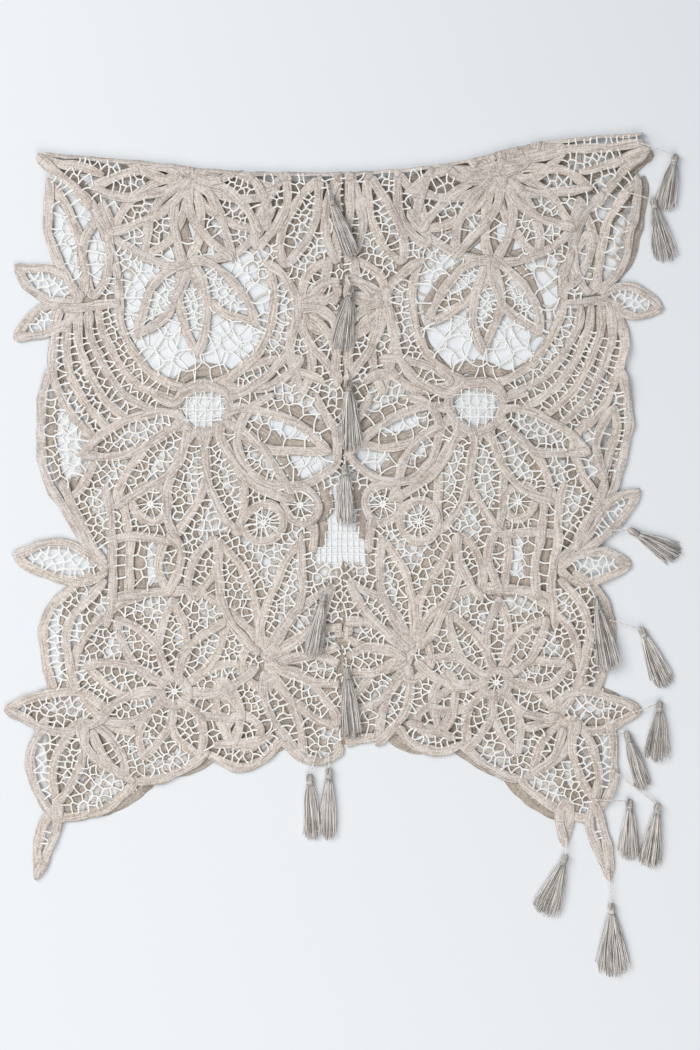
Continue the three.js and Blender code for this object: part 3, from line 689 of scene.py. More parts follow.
GRID_LOW = np.array([-352, -440])
GRID_SIZE = (840, 704)  # rows and columns of 1 mm
HALF_CELL = 0.5
FAR = 18.0  # greatest distance from a tape that is worked out
FIELD_STEP = 1.6  # between two places of a tape that count for the distance
FLOOD_LEAST = 2.4  # half a gap that leads out of the lace
grid_y, grid_x = np.mgrid[0:GRID_SIZE[0], 0:GRID_SIZE[1]]
grid_x = grid_x + GRID_LOW[0] + HALF_CELL
grid_y = grid_y + GRID_LOW[1] + HALF_CELL


def gap_field(tapes):
    """Distance to the nearest tape's edge for every millimetre, negative on a tape."""
    field = np.full(GRID_SIZE, FAR)
    reach = int(FAR + SHOWN_WIDTH / 2) + 1
    for tape in tapes:
        run = running(tape.path)
        at = np.linspace(0, run[-1], int(run[-1] / FIELD_STEP) + 2)
        xs, ys = np.interp(at, run, tape.path[:, 0]), np.interp(at, run, tape.path[:, 1])
        for x, y, half in zip(xs, ys, np.interp(at, run, tape.half)):
            c, r = int(x - GRID_LOW[0]), int(y - GRID_LOW[1])
            window = np.s_[max(r - reach, 0):max(r + reach, 0), max(c - reach, 0):max(c + reach, 0)]
            away = np.hypot(grid_x[window] - x, grid_y[window] - y) - half
            np.minimum(field[window], away, out=field[window])
    return field


def outside_of(field):
    """Cells that lie outside the lace, found by flooding in from the border at every second cell."""
    coarse = field[::2, ::2] > FLOOD_LEAST
    wet = np.zeros_like(coarse)
    wet[0], wet[-1], wet[:, 0], wet[:, -1] = coarse[0], coarse[-1], coarse[:, 0], coarse[:, -1]
    total = -1
    while wet.sum() != total:
        total = wet.sum()
        wet[1:] |= wet[:-1]
        wet[:-1] |= wet[1:]
        wet[:, 1:] |= wet[:, :-1]
        wet[:, :-1] |= wet[:, 1:]
        wet &= coarse
    for _ in range(2):  # takes in the cells along the edge
        wide = wet.copy()
        wide[1:] |= wet[:-1]
        wide[:-1] |= wet[1:]
        wide[:, 1:] |= wet[:, :-1]
        wide[:, :-1] |= wet[:, 1:]
        wet = wide
    return np.repeat(np.repeat(wet, 2, 0), 2, 1)


def cell_of(x, y):
    c = np.clip((x - GRID_LOW[0]).astype(int), 0, GRID_SIZE[1] - 1)
    r = np.clip((y - GRID_LOW[1]).astype(int), 0, GRID_SIZE[0] - 1)
    return r, c


# Windows where the net is wider: half sizes and spacing of the threads
WINDOWS = table("name out up across tall spacing", [
    ("bowl", 150, 158, 68, 82, 16),
    ("main_loop", 46, 26, 40, 36, 12),
    ("edge", 276, 20, 14, 50, 11),
    ("chain", 203, -98, 30, 24, 10),
    ("side", 260, 234, 36, 58, 10),
])
# Spider-web rosettes in the half pattern
ROSETTES = table("name out up reach spokes", [
    ("a", 81, -54, 22, 11),
    ("b", 42, -36, 20, 10),
    ("c", 190, -34, 19, 10),
    ("low", 171, -220, 16, 9),
    ("hem", 100, -262, 18, 9),
    ("calyx", 150, 226, 24, 10),
    ("neck", 58, 101, 18, 9),
    ("chain", 168, -92, 16, 8),
])
# Eyes that stay open down to the surface: clear of the back's tapes, and reach of their bending
EYES = table("name out up clear reach", [
    ("main_eye", 140, 62, 23, 52),
])
CENTRE_WINDOW = (27, -92, -20)  # half width, lower and upper end
SEED_LEAST = 4.5  # least distance between two meshes of the net
SEED_GROWTH = 0.34  # how fast the meshes grow with the distance from a tape
SEED_REACH = 12  # distance up to which they grow
MESH_JITTER = 0.6  # how uneven the corners of the meshes are
TULIP_EASE = 2  # how far past a leaf of the tulip its narrow net goes


def inside_tulip(out, up):
    inside = np.zeros(out.shape, bool)
    fan = next(row for row in FANS if row.name == "tulip")
    for root, tip in fan_rays(fan):
        run = tip - root
        length = np.hypot(*run)
        along = run / length
        t = ((out - root[0]) * along[0] + (up - root[1]) * along[1]) / length
        off = np.abs((up - root[1]) * along[0] - (out - root[0]) * along[1])
        half = fan.width / 2 * np.sin(np.pi * np.clip(t, 0, 1)) + TULIP_EASE
        inside |= (t > 0) & (t < 1) & (off < half)
    return inside


def mesh_spacing(field, places):
    spacing = SEED_LEAST + SEED_GROWTH * np.clip(field, 0, SEED_REACH)
    for place in places:
        own = grid_x * place.side > 0
        out, up = half_coordinates(grid_x[own], grid_y[own], place)
        local = spacing[own]
        for row in WINDOWS:
            within = ((out - row.out) / row.across) ** 2 + ((up - row.up) / row.tall) ** 2 < 1
            if row.name == "bowl":
                within &= ~inside_tulip(out, up)
            local[within] = np.maximum(local[within], row.spacing)
        spacing[own] = local
    return spacing


def scattered(allowed, spacing, taken):
    """Points with the given spacing, in an even but irregular scatter."""
    blocked = ~allowed
    for x, y, reach in taken:
        blocked |= np.hypot(grid_x - x, grid_y - y) < reach
    rows, columns = np.nonzero(~blocked)
    chosen = []
    for k in rng.permutation(len(rows)):
        r, c = rows[k], columns[k]
        if blocked[r, c]:
            continue
        chosen.append((r, c))
        reach = spacing[r, c]
        n = int(reach) + 1
        window = np.s_[max(r - n, 0):r + n + 1, max(c - n, 0):c + n + 1]
        blocked[window] |= np.hypot(grid_x[window] - grid_x[r, c], grid_y[window] - grid_y[r, c]) < reach
    r, c = np.array(chosen).T
    points = np.stack([grid_x[r, c], grid_y[r, c]], 1)
    return points + rng.uniform(-HALF_CELL, HALF_CELL, points.shape)


def web_edges(points):
    """The edges between the cells round scattered points, as pairs of corners."""
    verts, _, faces, _, _, _ = delaunay_2d_cdt([Vector(p) for p in points], [], [], 0, 1e-4)
    verts = np.array([(v.x, v.y) for v in verts])
    tri = np.array([f for f in faces if len(f) == 3])
    a, b, c = verts[tri[:, 0]], verts[tri[:, 1]], verts[tri[:, 2]]
    ab, ac = b - a, c - a
    d = 2 * (ab[:, 0] * ac[:, 1] - ab[:, 1] * ac[:, 0])
    d = np.where(np.abs(d) < TINY, TINY, d)
    ab2, ac2 = (ab ** 2).sum(1), (ac ** 2).sum(1)
    corner = a + np.stack([ac[:, 1] * ab2 - ab[:, 1] * ac2, ab[:, 0] * ac2 - ac[:, 0] * ab2], 1) / d[:, None]
    corner += rng.normal(0, MESH_JITTER, corner.shape)
    sides = np.sort(np.vstack([tri[:, [0, 1]], tri[:, [1, 2]], tri[:, [2, 0]]]), axis=1)
    owner = np.tile(np.arange(len(tri)), 3)
    order = np.lexsort((sides[:, 1], sides[:, 0]))
    sides, owner = sides[order], owner[order]
    same = (sides[:-1] == sides[1:]).all(1)
    return corner[owner[:-1][same]], corner[owner[1:][same]]


# Threads

THREAD_KEYS = ("along", "tone")
THREAD = 0.76  # radius of a net thread
BACK_THREAD = 1.15  # radius of the back's threads, which lie bunched under the fronts
ROSETTE_THREAD = 0.62
STRAIGHT_THREAD = 0.58
BAR_THREAD = 0.7
ON_TAPE = 2.3  # how far a thread is sewn onto a tape
SAMPLE = 0.5  # step along a line that looks for gaps
LONGEST = 60  # line that can be a thread
LEAST_THREAD = 1.6  # and the shortest
LEAST_DEPTH = 0.5  # half a gap that needs a thread
BEND = 0.15  # of a mesh's side, as a share of its length
TAUT = 0.05  # bend of a stretched thread
SHORT_BAR, LONG_BAR = 4.5, 11  # lengths from which a thread has more stretches
TUBE_SIDES = 3
TUBE_ANGLES = np.radians([30, 150, 270])
UNEVEN = 0.14  # share by which the threads' radius differs
THREAD_LOW = 0.95  # height of a thread in a gap over its panel's underside
THREAD_LOOSE = 0.2  # how far that height differs
THREAD_OVER = 0.85  # how far it rises onto a tape
RISE_FROM, RISE_SPAN = 1.0, 1.8  # distance from a tape at which it starts to rise, and length of the rise
SEWN_SWELL = 0.25  # how much thicker it is where it is sewn down


class Threads:
    """Threads of one layer of lace: straight or slightly bent lines on its sheet, with their radius."""

    def __init__(self, field, outside):
        self.field, self.outside = field, outside
        self.lines, self.window_lines = [], []

    def depth(self, x, y):
        return self.field[cell_of(x, y)]

    def clipped(self, start, end, least=LEAST_THREAD):
        """The parts of a line that cross a gap, each with a short stretch on the tape."""
        length = np.hypot(*(end - start))
        if length > LONGEST or length < SAMPLE:
            return
        t = np.linspace(0, 1, int(length / SAMPLE) + 2)
        x, y = (start + np.outer(t, end - start)).T
        cells = cell_of(x, y)
        depth = self.field[cells]
        for i, j in true_runs((depth > -ON_TAPE) & ~self.outside[cells]):
            if depth[i:j].max() > LEAST_DEPTH and (j - i) * SAMPLE > least:
                yield np.array([x[i], y[i]]), np.array([x[j - 1], y[j - 1]])

    def bar(self, start, end, radius, bend=BEND, segments=None):
        length = np.hypot(*(end - start))
        count = segments or (2 if length < SHORT_BAR else 3 if length < LONG_BAR else 5)
        t = np.linspace(0, 1, count + 1)[:, None]
        across = np.array([start[1] - end[1], end[0] - start[0]])
        bulge = rng.uniform(-bend, bend)
        self.lines.append((start + (end - start) * t + across * bulge * 4 * t * (1 - t), radius))


def unit_rows(vectors):
    return vectors / np.maximum(np.linalg.norm(vectors, axis=-1, keepdims=True), TINY)


def thread_mesh(name, threads, chosen, sheet, material):
    """Thread tubes as one mesh. They rise where they are sewn onto a tape."""
    gather = Gather()
    by_length = {}
    for points, radius in chosen:
        by_length.setdefault(len(points), []).append((points, radius))
    for count, group in sorted(by_length.items()):
        flat = np.array([points for points, _ in group])
        many = len(flat)
        radius = np.array([r for _, r in group]) * rng.uniform(1 - UNEVEN, 1 + UNEVEN, many)
        rise = np.clip((RISE_FROM - threads.depth(flat[..., 0], flat[..., 1])) / RISE_SPAN, 0, 1)
        low = THREAD_LOW + rng.uniform(-THREAD_LOOSE, THREAD_LOOSE, (many, 1))
        h = low + THREAD_OVER * rise * rise * (3 - 2 * rise)
        centre = sheet(flat[..., 0], flat[..., 1], h)
        ahead = unit_rows(np.gradient(centre, axis=1))
        side = unit_rows(np.stack([ahead[..., 1], -ahead[..., 0], np.zeros_like(h)], -1))
        up = np.cross(side, ahead)
        thick = radius[:, None] * (1 + SEWN_SWELL * rise)
        ring = (side[:, :, None] * np.cos(TUBE_ANGLES)[:, None]
                + up[:, :, None] * np.sin(TUBE_ANGLES)[:, None])
        points = (centre[:, :, None] + ring * thick[..., None, None]).reshape(-1, 3)
        run = np.linalg.norm(np.diff(centre, axis=1), axis=2).cumsum(1)
        run = np.concatenate([np.zeros((many, 1)), run], 1)
        tone = rng.uniform(0, 1, (many, 1)) + np.zeros_like(run)
        values = np.repeat(np.stack([run.ravel(), tone.ravel()], 1), TUBE_SIDES, axis=0)
        gather.add(points, values, count, TUBE_SIDES)
    return gather.build(name, THREAD_KEYS, material, smooth=False)


# Nets of a panel

SPOKE_JITTER = 0.18  # how uneven a rosette's spokes stand
SPOKE_FROM = 0.4  # where a spoke starts
SPOKE_LEAST = 4  # and where it may end
SPIRAL_TURNS, SPIRAL_POINTS = 2.2, 27
SPIRAL_RADII = (0.9, 3.1)
ROSETTE_TURN = 37  # degrees from one rosette to the next
ROSETTE_DEPTH = 3  # half a gap that a rosette needs
ROSETTE_EASE, ROSETTE_MOST = 6, 13  # of a rosette's reach, what the meshes leave free
BAR_LEAST, BAR_BEND, BAR_SEGMENTS = 5, 0.12, 5
LEAN = 2.0  # how far a straight net's threads stand off the upright
LEVEL_STEP = 1.4  # of a straight net's level threads, as a share of the upright ones' step
WINDOW_STEP = 5.6  # of the centre window's net
WINDOW_EASE = np.array([2.0, 1.0])  # how far that net goes past its window
EYE_STEP = 8.0
SEED_DEPTH = 0.7  # distance from a tape at which meshes start
BORDER_DEPTH, BORDER_SPACING = 4, 14.0  # of the points outside that close the outermost meshes


def rosette(threads, centre, row, turn):
    """Spokes from a woven centre to the tapes round it."""
    for k in range(row.spokes):
        d = unit(turn + 360 * (k + rng.uniform(-SPOKE_JITTER, SPOKE_JITTER)) / row.spokes)
        reach = np.arange(0, row.reach, SAMPLE)
        depth = threads.depth(centre[0] + reach * d[0], centre[1] + reach * d[1])
        landed = np.flatnonzero((depth < -ON_TAPE) & (reach > SPOKE_LEAST))
        end = reach[landed[0]] if len(landed) else row.reach
        threads.bar(centre + d * SPOKE_FROM, centre + d * end, ROSETTE_THREAD, TAUT, 3)
    turns = np.radians(np.linspace(0, 360 * SPIRAL_TURNS, SPIRAL_POINTS))
    radius = np.linspace(*SPIRAL_RADII, SPIRAL_POINTS)
    spiral = centre + np.stack([radius * np.cos(turns), radius * np.sin(turns)], 1)
    threads.lines.append((spiral, ROSETTE_THREAD))


def straight_net(threads, low, high, step):
    """Upright and level threads from side to side of a window, not quite even."""
    middle = (low[1] + high[1]) / 2
    for x in np.arange(low[0], high[0], step):
        lean = rng.uniform(-LEAN, LEAN)
        for ends in (((x, low[1]), (x + lean, middle)), ((x + lean, middle), (x, high[1]))):
            for a, b in threads.clipped(np.array(ends[0]), np.array(ends[1])):
                threads.bar(a, b, STRAIGHT_THREAD, TAUT, 4)
    for y in np.arange(low[1], high[1], LEVEL_STEP * step):
        lean = rng.uniform(-LEAN, LEAN)
        for a, b in threads.clipped(np.array([low[0], y]), np.array([high[0], y + lean])):
            threads.bar(a, b, STRAIGHT_THREAD, TAUT, 5)


def panel_threads(tapes, places, radius, is_back, top):
    """The net of one layer of lace, up to top past the seam: rosettes, bars and meshes in every gap.

    The fronts have straight nets in their eyes, and the back has one in the centre window.
    """
    field = gap_field(tapes)
    outside = outside_of(field) | (past_seam(grid_x, grid_y) > top)
    threads = Threads(field, outside)
    half_width, lower, upper = CENTRE_WINDOW
    kept_free = (np.abs(grid_x) < half_width) & (grid_y > lower) & (grid_y < upper)
    taken, eyes = [], []
    for place in places:
        for row in () if is_back else EYES:
            x, y = centre_of(row, place)[0]
            eyes.append((np.array([x, y]), row.clear))
            kept_free |= np.hypot(grid_x - x, grid_y - y) < row.clear
        for row in ROSETTES:
            centre = laid(centre_of(row, place), FRONT_PHASE)[0]
            if threads.depth(*centre[:, None])[0] >= ROSETTE_DEPTH:
                rosette(threads, centre, row, ROSETTE_TURN * len(taken))
                taken.append((*centre, min(row.reach - ROSETTE_EASE, ROSETTE_MOST)))
        for row in () if is_back else BARS:
            for start, end in fan_rays(row):
                ends = laid(placed(np.array([start, end]), place), FRONT_PHASE)
                for a, b in threads.clipped(*ends, least=BAR_LEAST):
                    threads.bar(a, b, BAR_THREAD, BAR_BEND, BAR_SEGMENTS)
    inside = (field > SEED_DEPTH) & ~outside & ~kept_free
    seeds = scattered(inside, mesh_spacing(field, places), taken)
    border = scattered((field > BORDER_DEPTH) & outside, np.full(GRID_SIZE, BORDER_SPACING), [])
    webs = [np.array([(x, y) for x, y, _ in taken])] if taken else []
    threads.outside = outside | kept_free
    for start, end in zip(*web_edges(np.vstack([seeds, border] + webs))):
        for a, b in threads.clipped(start, end):
            threads.bar(a, b, radius)
    threads.outside = outside
    for centre, reach in eyes:
        straight_net(threads, centre - reach, centre + reach, EYE_STEP)
    if is_back:
        meshes = threads.lines
        threads.lines = threads.window_lines
        straight_net(threads, np.array([-half_width, lower]) - WINDOW_EASE,
                     np.array([half_width, upper]) + WINDOW_EASE, WINDOW_STEP)
        threads.lines = meshes
    return threads


# Materials

class Look:
    """A material whose nodes are made by short calls."""

    def __init__(self, name):
        self.material = bpy.data.materials.new(name)
        self.material.use_nodes = True
        self.nodes, self.links = self.material.node_tree.nodes, self.material.node_tree.links
        self.shader = self.nodes["Principled BSDF"]

    def add(self, kind, output, inputs, **settings):
        """A new node's output. Its inputs are numbers, or outputs of other nodes."""
        node = self.nodes.new("ShaderNode" + kind)
        for key, value in settings.items():
            setattr(node, key, value)
        for key, value in inputs.items():
            if isinstance(value, (int, float)):
                node.inputs[key].default_value = value
            else:
                self.links.new(value, node.inputs[key])
        return node.outputs[output]

    def attribute(self, name):
        return self.add("Attribute", "Fac", {}, attribute_name=name)

    def place(self):
        return self.add("TexCoord", "Object", {})

    def maths(self, operation, a, b=0.0):
        return self.add("Math", 0, {0: a, 1: b}, operation=operation)

    def weighted(self, *terms):
        """The sum of values, each given with its weight."""
        total, *others = [self.maths("MULTIPLY", value, weight) for value, weight in terms]
        for product in others:
            total = self.maths("ADD", total, product)
        return total

    def stretched(self, values, scales):
        """A vector of values, each times its scale."""
        products = [self.maths("MULTIPLY", value, scale) for value, scale in zip(values, scales)]
        return self.add("CombineXYZ", 0, dict(enumerate(products)))

    def noise(self, vector, scale, detail, roughness=0.55):
        inputs = {"Vector": vector, "Scale": scale, "Detail": detail, "Roughness": roughness}
        return self.add("TexNoise", "Fac", inputs)

    def ramp(self, value, stops):
        node = self.nodes.new("ShaderNodeValToRGB")
        while len(node.color_ramp.elements) < len(stops):
            node.color_ramp.elements.new(0.5)
        for element, (place, colour) in zip(node.color_ramp.elements, stops):
            element.position = place
            element.color = (*colour, 1)
        self.links.new(value, node.inputs["Fac"])
        return node.outputs["Color"]

    def tinted(self, colour, tint):
        inputs = {"Factor": 1.0, 6: colour, 7: tint}
        return self.add("Mix", 2, inputs, data_type="RGBA", blend_type="MULTIPLY")

    def bumped(self, height, strength, distance):
        return self.add("Bump", "Normal", {"Height": height, "Strength": strength, "Distance": distance})

    def finish(self, colour, normal, roughness, specular, sheen):
        for key, value in (("Base Color", colour), ("Normal", normal), ("Roughness", roughness)):
            self.links.new(value, self.shader.inputs[key])
        self.shader.inputs["Specular IOR Level"].default_value = specular
        self.shader.inputs["Sheen Weight"].default_value = sheen
        self.shader.inputs["Sheen Roughness"].default_value = 0.5
        return self.material


# Scales of the tape's patterns along, across and from tape to tape, per millimetre
STREAKS = (0.05, 0.8, 61.0)
GATHERS = (0.42, 0.16, 43.0)
PATCHES, SPECKLE = 30.0, 820.0  # per metre
WARP, WEFT = 6.6, 7.4  # threads of the weave, in radians per millimetre
TONES = ((0.0, (0.94, 0.94, 0.95)), (1.0, (1.0, 0.985, 0.96)))  # tints from tape to tape
YARN_PATCHES = 90.0


def tape_material(name, dark, middle, light):
    look = Look(name)
    along, across, tone = (look.attribute(key) for key in TAPE_KEYS)
    place = look.place()
    streaks = look.noise(look.stretched((along, across, tone), STREAKS), 1.0, 4.0, 0.6)
    gathers = look.noise(look.stretched((along, across, tone), GATHERS), 1.0, 2.0)
    patches = look.noise(place, PATCHES, 3.0)
    speckle = look.noise(place, SPECKLE, 2.0)
    # The streaks and gathers also raise the bump, so the colour is darkest where the tape is lowest: partly
    # the fibres' own tone, partly painted shade in the grooves
    fibres_and_groove_shade = look.weighted((streaks, 0.74), (gathers, 0.26))
    shade = look.weighted((fibres_and_groove_shade, 0.58), (patches, 0.12), (speckle, 0.3))
    colour = look.ramp(shade, [(0.425, dark), (0.5, middle), (0.575, light)])
    warp = look.maths("SINE", look.maths("MULTIPLY", along, WARP))
    weft = look.maths("SINE", look.maths("MULTIPLY", across, WEFT))
    relief = look.weighted((look.maths("MULTIPLY", warp, weft), 0.16), (streaks, 1.0), (gathers, 0.9))
    roughness = look.maths("ADD", look.maths("MULTIPLY", streaks, 0.2), 0.76)
    return look.finish(look.tinted(colour, look.ramp(tone, TONES)), look.bumped(relief, 0.55, 0.0007),
                       roughness, specular=0.2, sheen=0.12)


def thread_material(name, dark, light, twist):
    look = Look(name)
    along, tone = (look.attribute(key) for key in THREAD_KEYS)
    patches = look.noise(look.place(), YARN_PATCHES, 3.0)
    shade = look.weighted((tone, 0.6), (patches, 0.4))
    ply = look.maths("SINE", look.maths("MULTIPLY", along, twist))
    roughness = look.maths("ADD", look.maths("MULTIPLY", patches, 0.2), 0.7)
    return look.finish(look.ramp(shade, [(0.15, dark), (0.7, light)]), look.bumped(ply, 0.5, 0.00005),
                       roughness, specular=0.25, sheen=0.1)


front_cloth = tape_material("front_tape", (0.46, 0.39, 0.345), (0.715, 0.638, 0.583), (0.90, 0.838, 0.79))
# The back's tape is the fronts' tape; its darker, browner colours are painted shade where it lies under the
# fronts
back_cloth_painted_shade = tape_material("back_tape", (0.34, 0.285, 0.24), (0.51, 0.44, 0.38), (0.66, 0.585, 0.515))
front_thread = thread_material("net_thread", (0.91, 0.885, 0.85), (0.98, 0.965, 0.94), 5.0)
# The back's threads are the fronts' white thread; their brown colours are painted shade under the fronts
back_thread_painted_shade = thread_material("back_net_thread", (0.56, 0.49, 0.43), (0.74, 0.67, 0.60), 5.0)
yarn = thread_material("tassel_yarn", (0.2, 0.172, 0.152), (0.95, 0.90, 0.855), 3.0)


# Lace

RUMPLED_FROM = 190  # right of this the back is rumpled and shows through all windows
FOLD_SIDE = 306  # farthest that the fold reaches to either side
ON_SEAM = 0.01  # distance at which a section counts as on the seam
BACK_PAST_SEAM = 0.5  # how far the back's tapes go past the seam

left_tapes = front_tapes(FRONT_LEFT, [], HEM_POINT)
right_tapes = front_tapes(FRONT_RIGHT, RIGHT_LEAVES + RIGHT_TUCKS, [])
back_left = back_tapes(BACK_LEFT, FRONT_LEFT, BACK_SPINE)
back_right = back_tapes(BACK_RIGHT, FRONT_RIGHT, [])


def stacked(tapes):
    """Tapes with their levels, spread so that neighbours differ, and their seeds."""
    return [(tape, (k * GOLDEN % 1) * LEVELS, k + 1) for k, tape in enumerate(tapes)]


def fill_front(gather, fold_gather, tapes):
    for tape, level, seed in stacked(tapes):
        whole = seam_split(tape)
        s = past_seam(*whole.path.T)
        for run in cut_runs(whole, s < ON_SEAM):
            ribbon(gather, run, level, front_sheet, seed)
        over = (s > -ON_SEAM) & (s < FOLD_LENGTH) & (np.abs(whole.path[:, 0]) < FOLD_SIDE)
        for run in cut_runs(whole, over):
            ribbon(fold_gather, run, level, front_sheet, seed)


def fill_back(gather, tapes):
    for tape, level, seed in stacked(tapes):
        for run in cut_runs(tape, past_seam(*tape.path.T) < BACK_PAST_SEAM):
            ribbon(gather, run, level, back_sheet, seed)


left_gather, right_gather, fold_gather, back_gather = Gather(), Gather(), Gather(), Gather()
fill_front(left_gather, fold_gather, left_tapes)
fill_front(right_gather, fold_gather, right_tapes)
fill_back(back_gather, back_left)
fill_back(back_gather, back_right)
left_lace = left_gather.build("front_left_lace", TAPE_KEYS, front_cloth)
right_lace = right_gather.build("front_right_lace", TAPE_KEYS, front_cloth)
fold_lace = fold_gather.build("fold_lace", TAPE_KEYS, front_cloth)
back_lace = back_gather.build("back_lace", TAPE_KEYS, back_cloth_painted_shade)

front_net = panel_threads(left_tapes + right_tapes, (FRONT_LEFT, FRONT_RIGHT), THREAD, False, FOLD_LENGTH)
back_net = panel_threads(back_left + back_right, (BACK_LEFT, BACK_RIGHT), BACK_THREAD, True, 0.0)


def middle_of(points):
    return points[len(points) // 2]


def front_share(side):
    """The threads of one front, kept on its side of the opening."""
    chosen = []
    for points, radius in front_net.lines:
        x, y = middle_of(points)
        if x * side > 0 and past_seam(x, y) < 0:
            points = points.copy()
            points[:, 0] = side * np.maximum(side * points[:, 0], SEAM_GAP)
            chosen.append((points, radius))
    return chosen


def fold_share():
    """The threads that lie over the fold."""
    for points, radius in front_net.lines:
        x, y = middle_of(points)
        if past_seam(x, y) >= 0 and abs(x) < FOLD_SIDE:
            yield points, radius


def under_window(points):
    """Whether a thread of the back lies under one of the fronts' wide windows."""
    x, y = middle_of(points)
    if x > RUMPLED_FROM:
        return False
    out, up = half_coordinates(np.array([x]), np.array([y]), FRONT_LEFT if x < 0 else FRONT_RIGHT)
    wide = [(row.out, row.up, row.across, row.tall) for row in WINDOWS]
    eyes = [(row.out, row.up, row.clear, row.clear) for row in EYES]
    return any(((out[0] - u) / a) ** 2 + ((up[0] - v) / b) ** 2 < 1 for u, v, a, b in wide + eyes)


left_mesh = thread_mesh("front_left_net", front_net, front_share(-1), front_sheet, front_thread)
right_mesh = thread_mesh("front_right_net", front_net, front_share(1), front_sheet, front_thread)
fold_mesh = thread_mesh("fold_net", front_net, fold_share(), front_sheet, front_thread)
# Back threads under the fronts take the brown thread colours as painted shade; those bared under the fronts'
# windows and eyes keep the white thread colours
covered = [line for line in back_net.lines if not under_window(line[0])]
bared = [(points, THREAD) for points, _ in back_net.lines if under_window(points)]
back_mesh = thread_mesh("back_net", back_net, covered, back_sheet, back_thread_painted_shade)
window_mesh = thread_mesh("back_window_net", back_net, back_net.window_lines + bared, back_sheet,
                          front_thread)


# Tassels

# Half a tassel's head: place along it and radius
HEAD = np.array([(-5.4, 0.5), (-5.0, 1.7), (-4.0, 2.7), (-2.2, 3.4), (-0.4, 3.5), (1.2, 3.1), (2.4, 2.7),
                 (3.6, 2.8), (5.6, 3.2)])
HEAD_SIDES = 16
HEAD_RIPPLE = 0.05
HEAD_TONE = 0.1
HEAD_THREADS = 20  # threads that run over a head
HEAD_TWIST = 0.06  # radians that they turn in a millimetre
HEAD_JITTER = 0.3  # how uneven they lie, as a share of their step
BINDING_TURNS, BINDING_POINTS = 5, 15
BINDING_FROM, BINDING_STEP, BINDING_LEAD = 1.5, 0.62, 0.6  # first turn, step from turn to turn, and slant
BINDING_RADIUS, BINDING_THREAD = 3.15, 0.42
STRAND_ROW = 25  # strands side by side in a skirt
STRAND_LAYERS = 5
STRAND_POINTS = 7
YARN = 0.37  # radius of one thread of a skirt
# Tones of the threads, from dark to light
HEAD_TONES, BINDING_TONES, STRAND_TONES, CORD_TONES = (0, 0.8), (0.1, 0.7), (0, 1), (0.4, 0.9)
SIDE_JITTER, LAYER_RANGE = 0.02, (0.2, 0.8)  # how uneven the strands lie in their rows and layers
ROOT_INSIDE, ROOT_WIDTH, ROOT_TALL = 1.5, 5.6, 5.0  # the skirt where it leaves the head
ROOT_ROUND = 1.9  # how fast its height falls to the sides
TIP_FAN, TIP_LOOSE = 0.98, 1.3  # how the tips fill the fan
TIP_LOW, TIP_TALL = 0.55, 4.0  # height of the tips
SHORT_SIDES = 0.1  # how much shorter the outer strands are
STRAND_LENGTHS = (0.84, 1.03)
STRAND_WAVE, STRAND_CURL = 1.1, 0.8  # how far a strand strays
SKIRT_BELLY, SKIRT_CROWN = 1.6, 0.9  # how far a skirt bulges to the sides and up
STRAND_LEAST = 0.5  # height of the lowest strand
CORD_POINTS, CORD_SIDES = 17, 4
PLY, PLY_OFF, PLY_TURN = 0.6, 0.5, 3.2  # radius of a cord's ply, its place off the middle, half its turn
KNOT_LOOPS, KNOT_POINTS, KNOT_STEP = 4, 11, 47
KNOT_LOOP, KNOT_THREAD = 1.3, 0.55
UPRIGHT = 0.9  # share of its run from which a thread counts as upright


def tube(gather, path, radius, sides, tone):
    """A thread through points in space, closed at both ends."""
    count = len(path)
    ahead = unit_rows(np.gradient(path, axis=0))
    guide = np.where(np.abs(ahead[:, 2:]) > UPRIGHT, [[1.0, 0, 0]], [[0, 0, 1.0]])
    side = unit_rows(np.cross(ahead, guide))
    up = np.cross(side, ahead)
    a = np.linspace(0, 2 * math.pi, sides, endpoint=False) + math.pi / 6
    ring = side[:, None] * np.cos(a)[:, None] + up[:, None] * np.sin(a)[:, None]
    points = (path[:, None] + ring * radius).reshape(-1, 3)
    run = np.r_[0, np.linalg.norm(np.diff(path, axis=0), axis=1).cumsum()]
    values = np.stack([np.repeat(run, sides), np.full(count * sides, tone)], 1)
    gather.add(points, values, count, sides)


def round_head(x, radius, a):
    """Points round the axis of a tassel's head."""
    return np.stack([x, radius * np.cos(a), HEAD_RADIUS + radius * np.sin(a)], -1)


def head(gather):
    """A head with threads over it and a binding at its neck."""
    a = -np.linspace(0, 2 * math.pi, HEAD_SIDES, endpoint=False)
    ripple = 1 + HEAD_RIPPLE * np.cos(np.arange(HEAD_SIDES) * math.pi)
    x, radius = np.repeat(HEAD, HEAD_SIDES, axis=0).T
    points = round_head(x, radius * np.tile(ripple, len(HEAD)), np.tile(a, len(HEAD)))
    gather.add(points, np.stack([x, np.full(len(x), HEAD_TONE)], 1), len(HEAD), HEAD_SIDES)
    x, radius = HEAD.T
    for k in range(HEAD_THREADS):
        a = 2 * math.pi * (k + rng.uniform(-HEAD_JITTER, HEAD_JITTER)) / HEAD_THREADS + HEAD_TWIST * x
        tube(gather, round_head(x, radius, a), YARN, TUBE_SIDES, rng.uniform(*HEAD_TONES))
    for k in range(BINDING_TURNS):
        t = np.linspace(0, 1, BINDING_POINTS)
        x = BINDING_FROM + BINDING_STEP * k + BINDING_LEAD * t
        ring = round_head(x, BINDING_RADIUS, 2 * math.pi * t)
        tube(gather, ring, BINDING_THREAD, CORD_SIDES, rng.uniform(*BINDING_TONES))


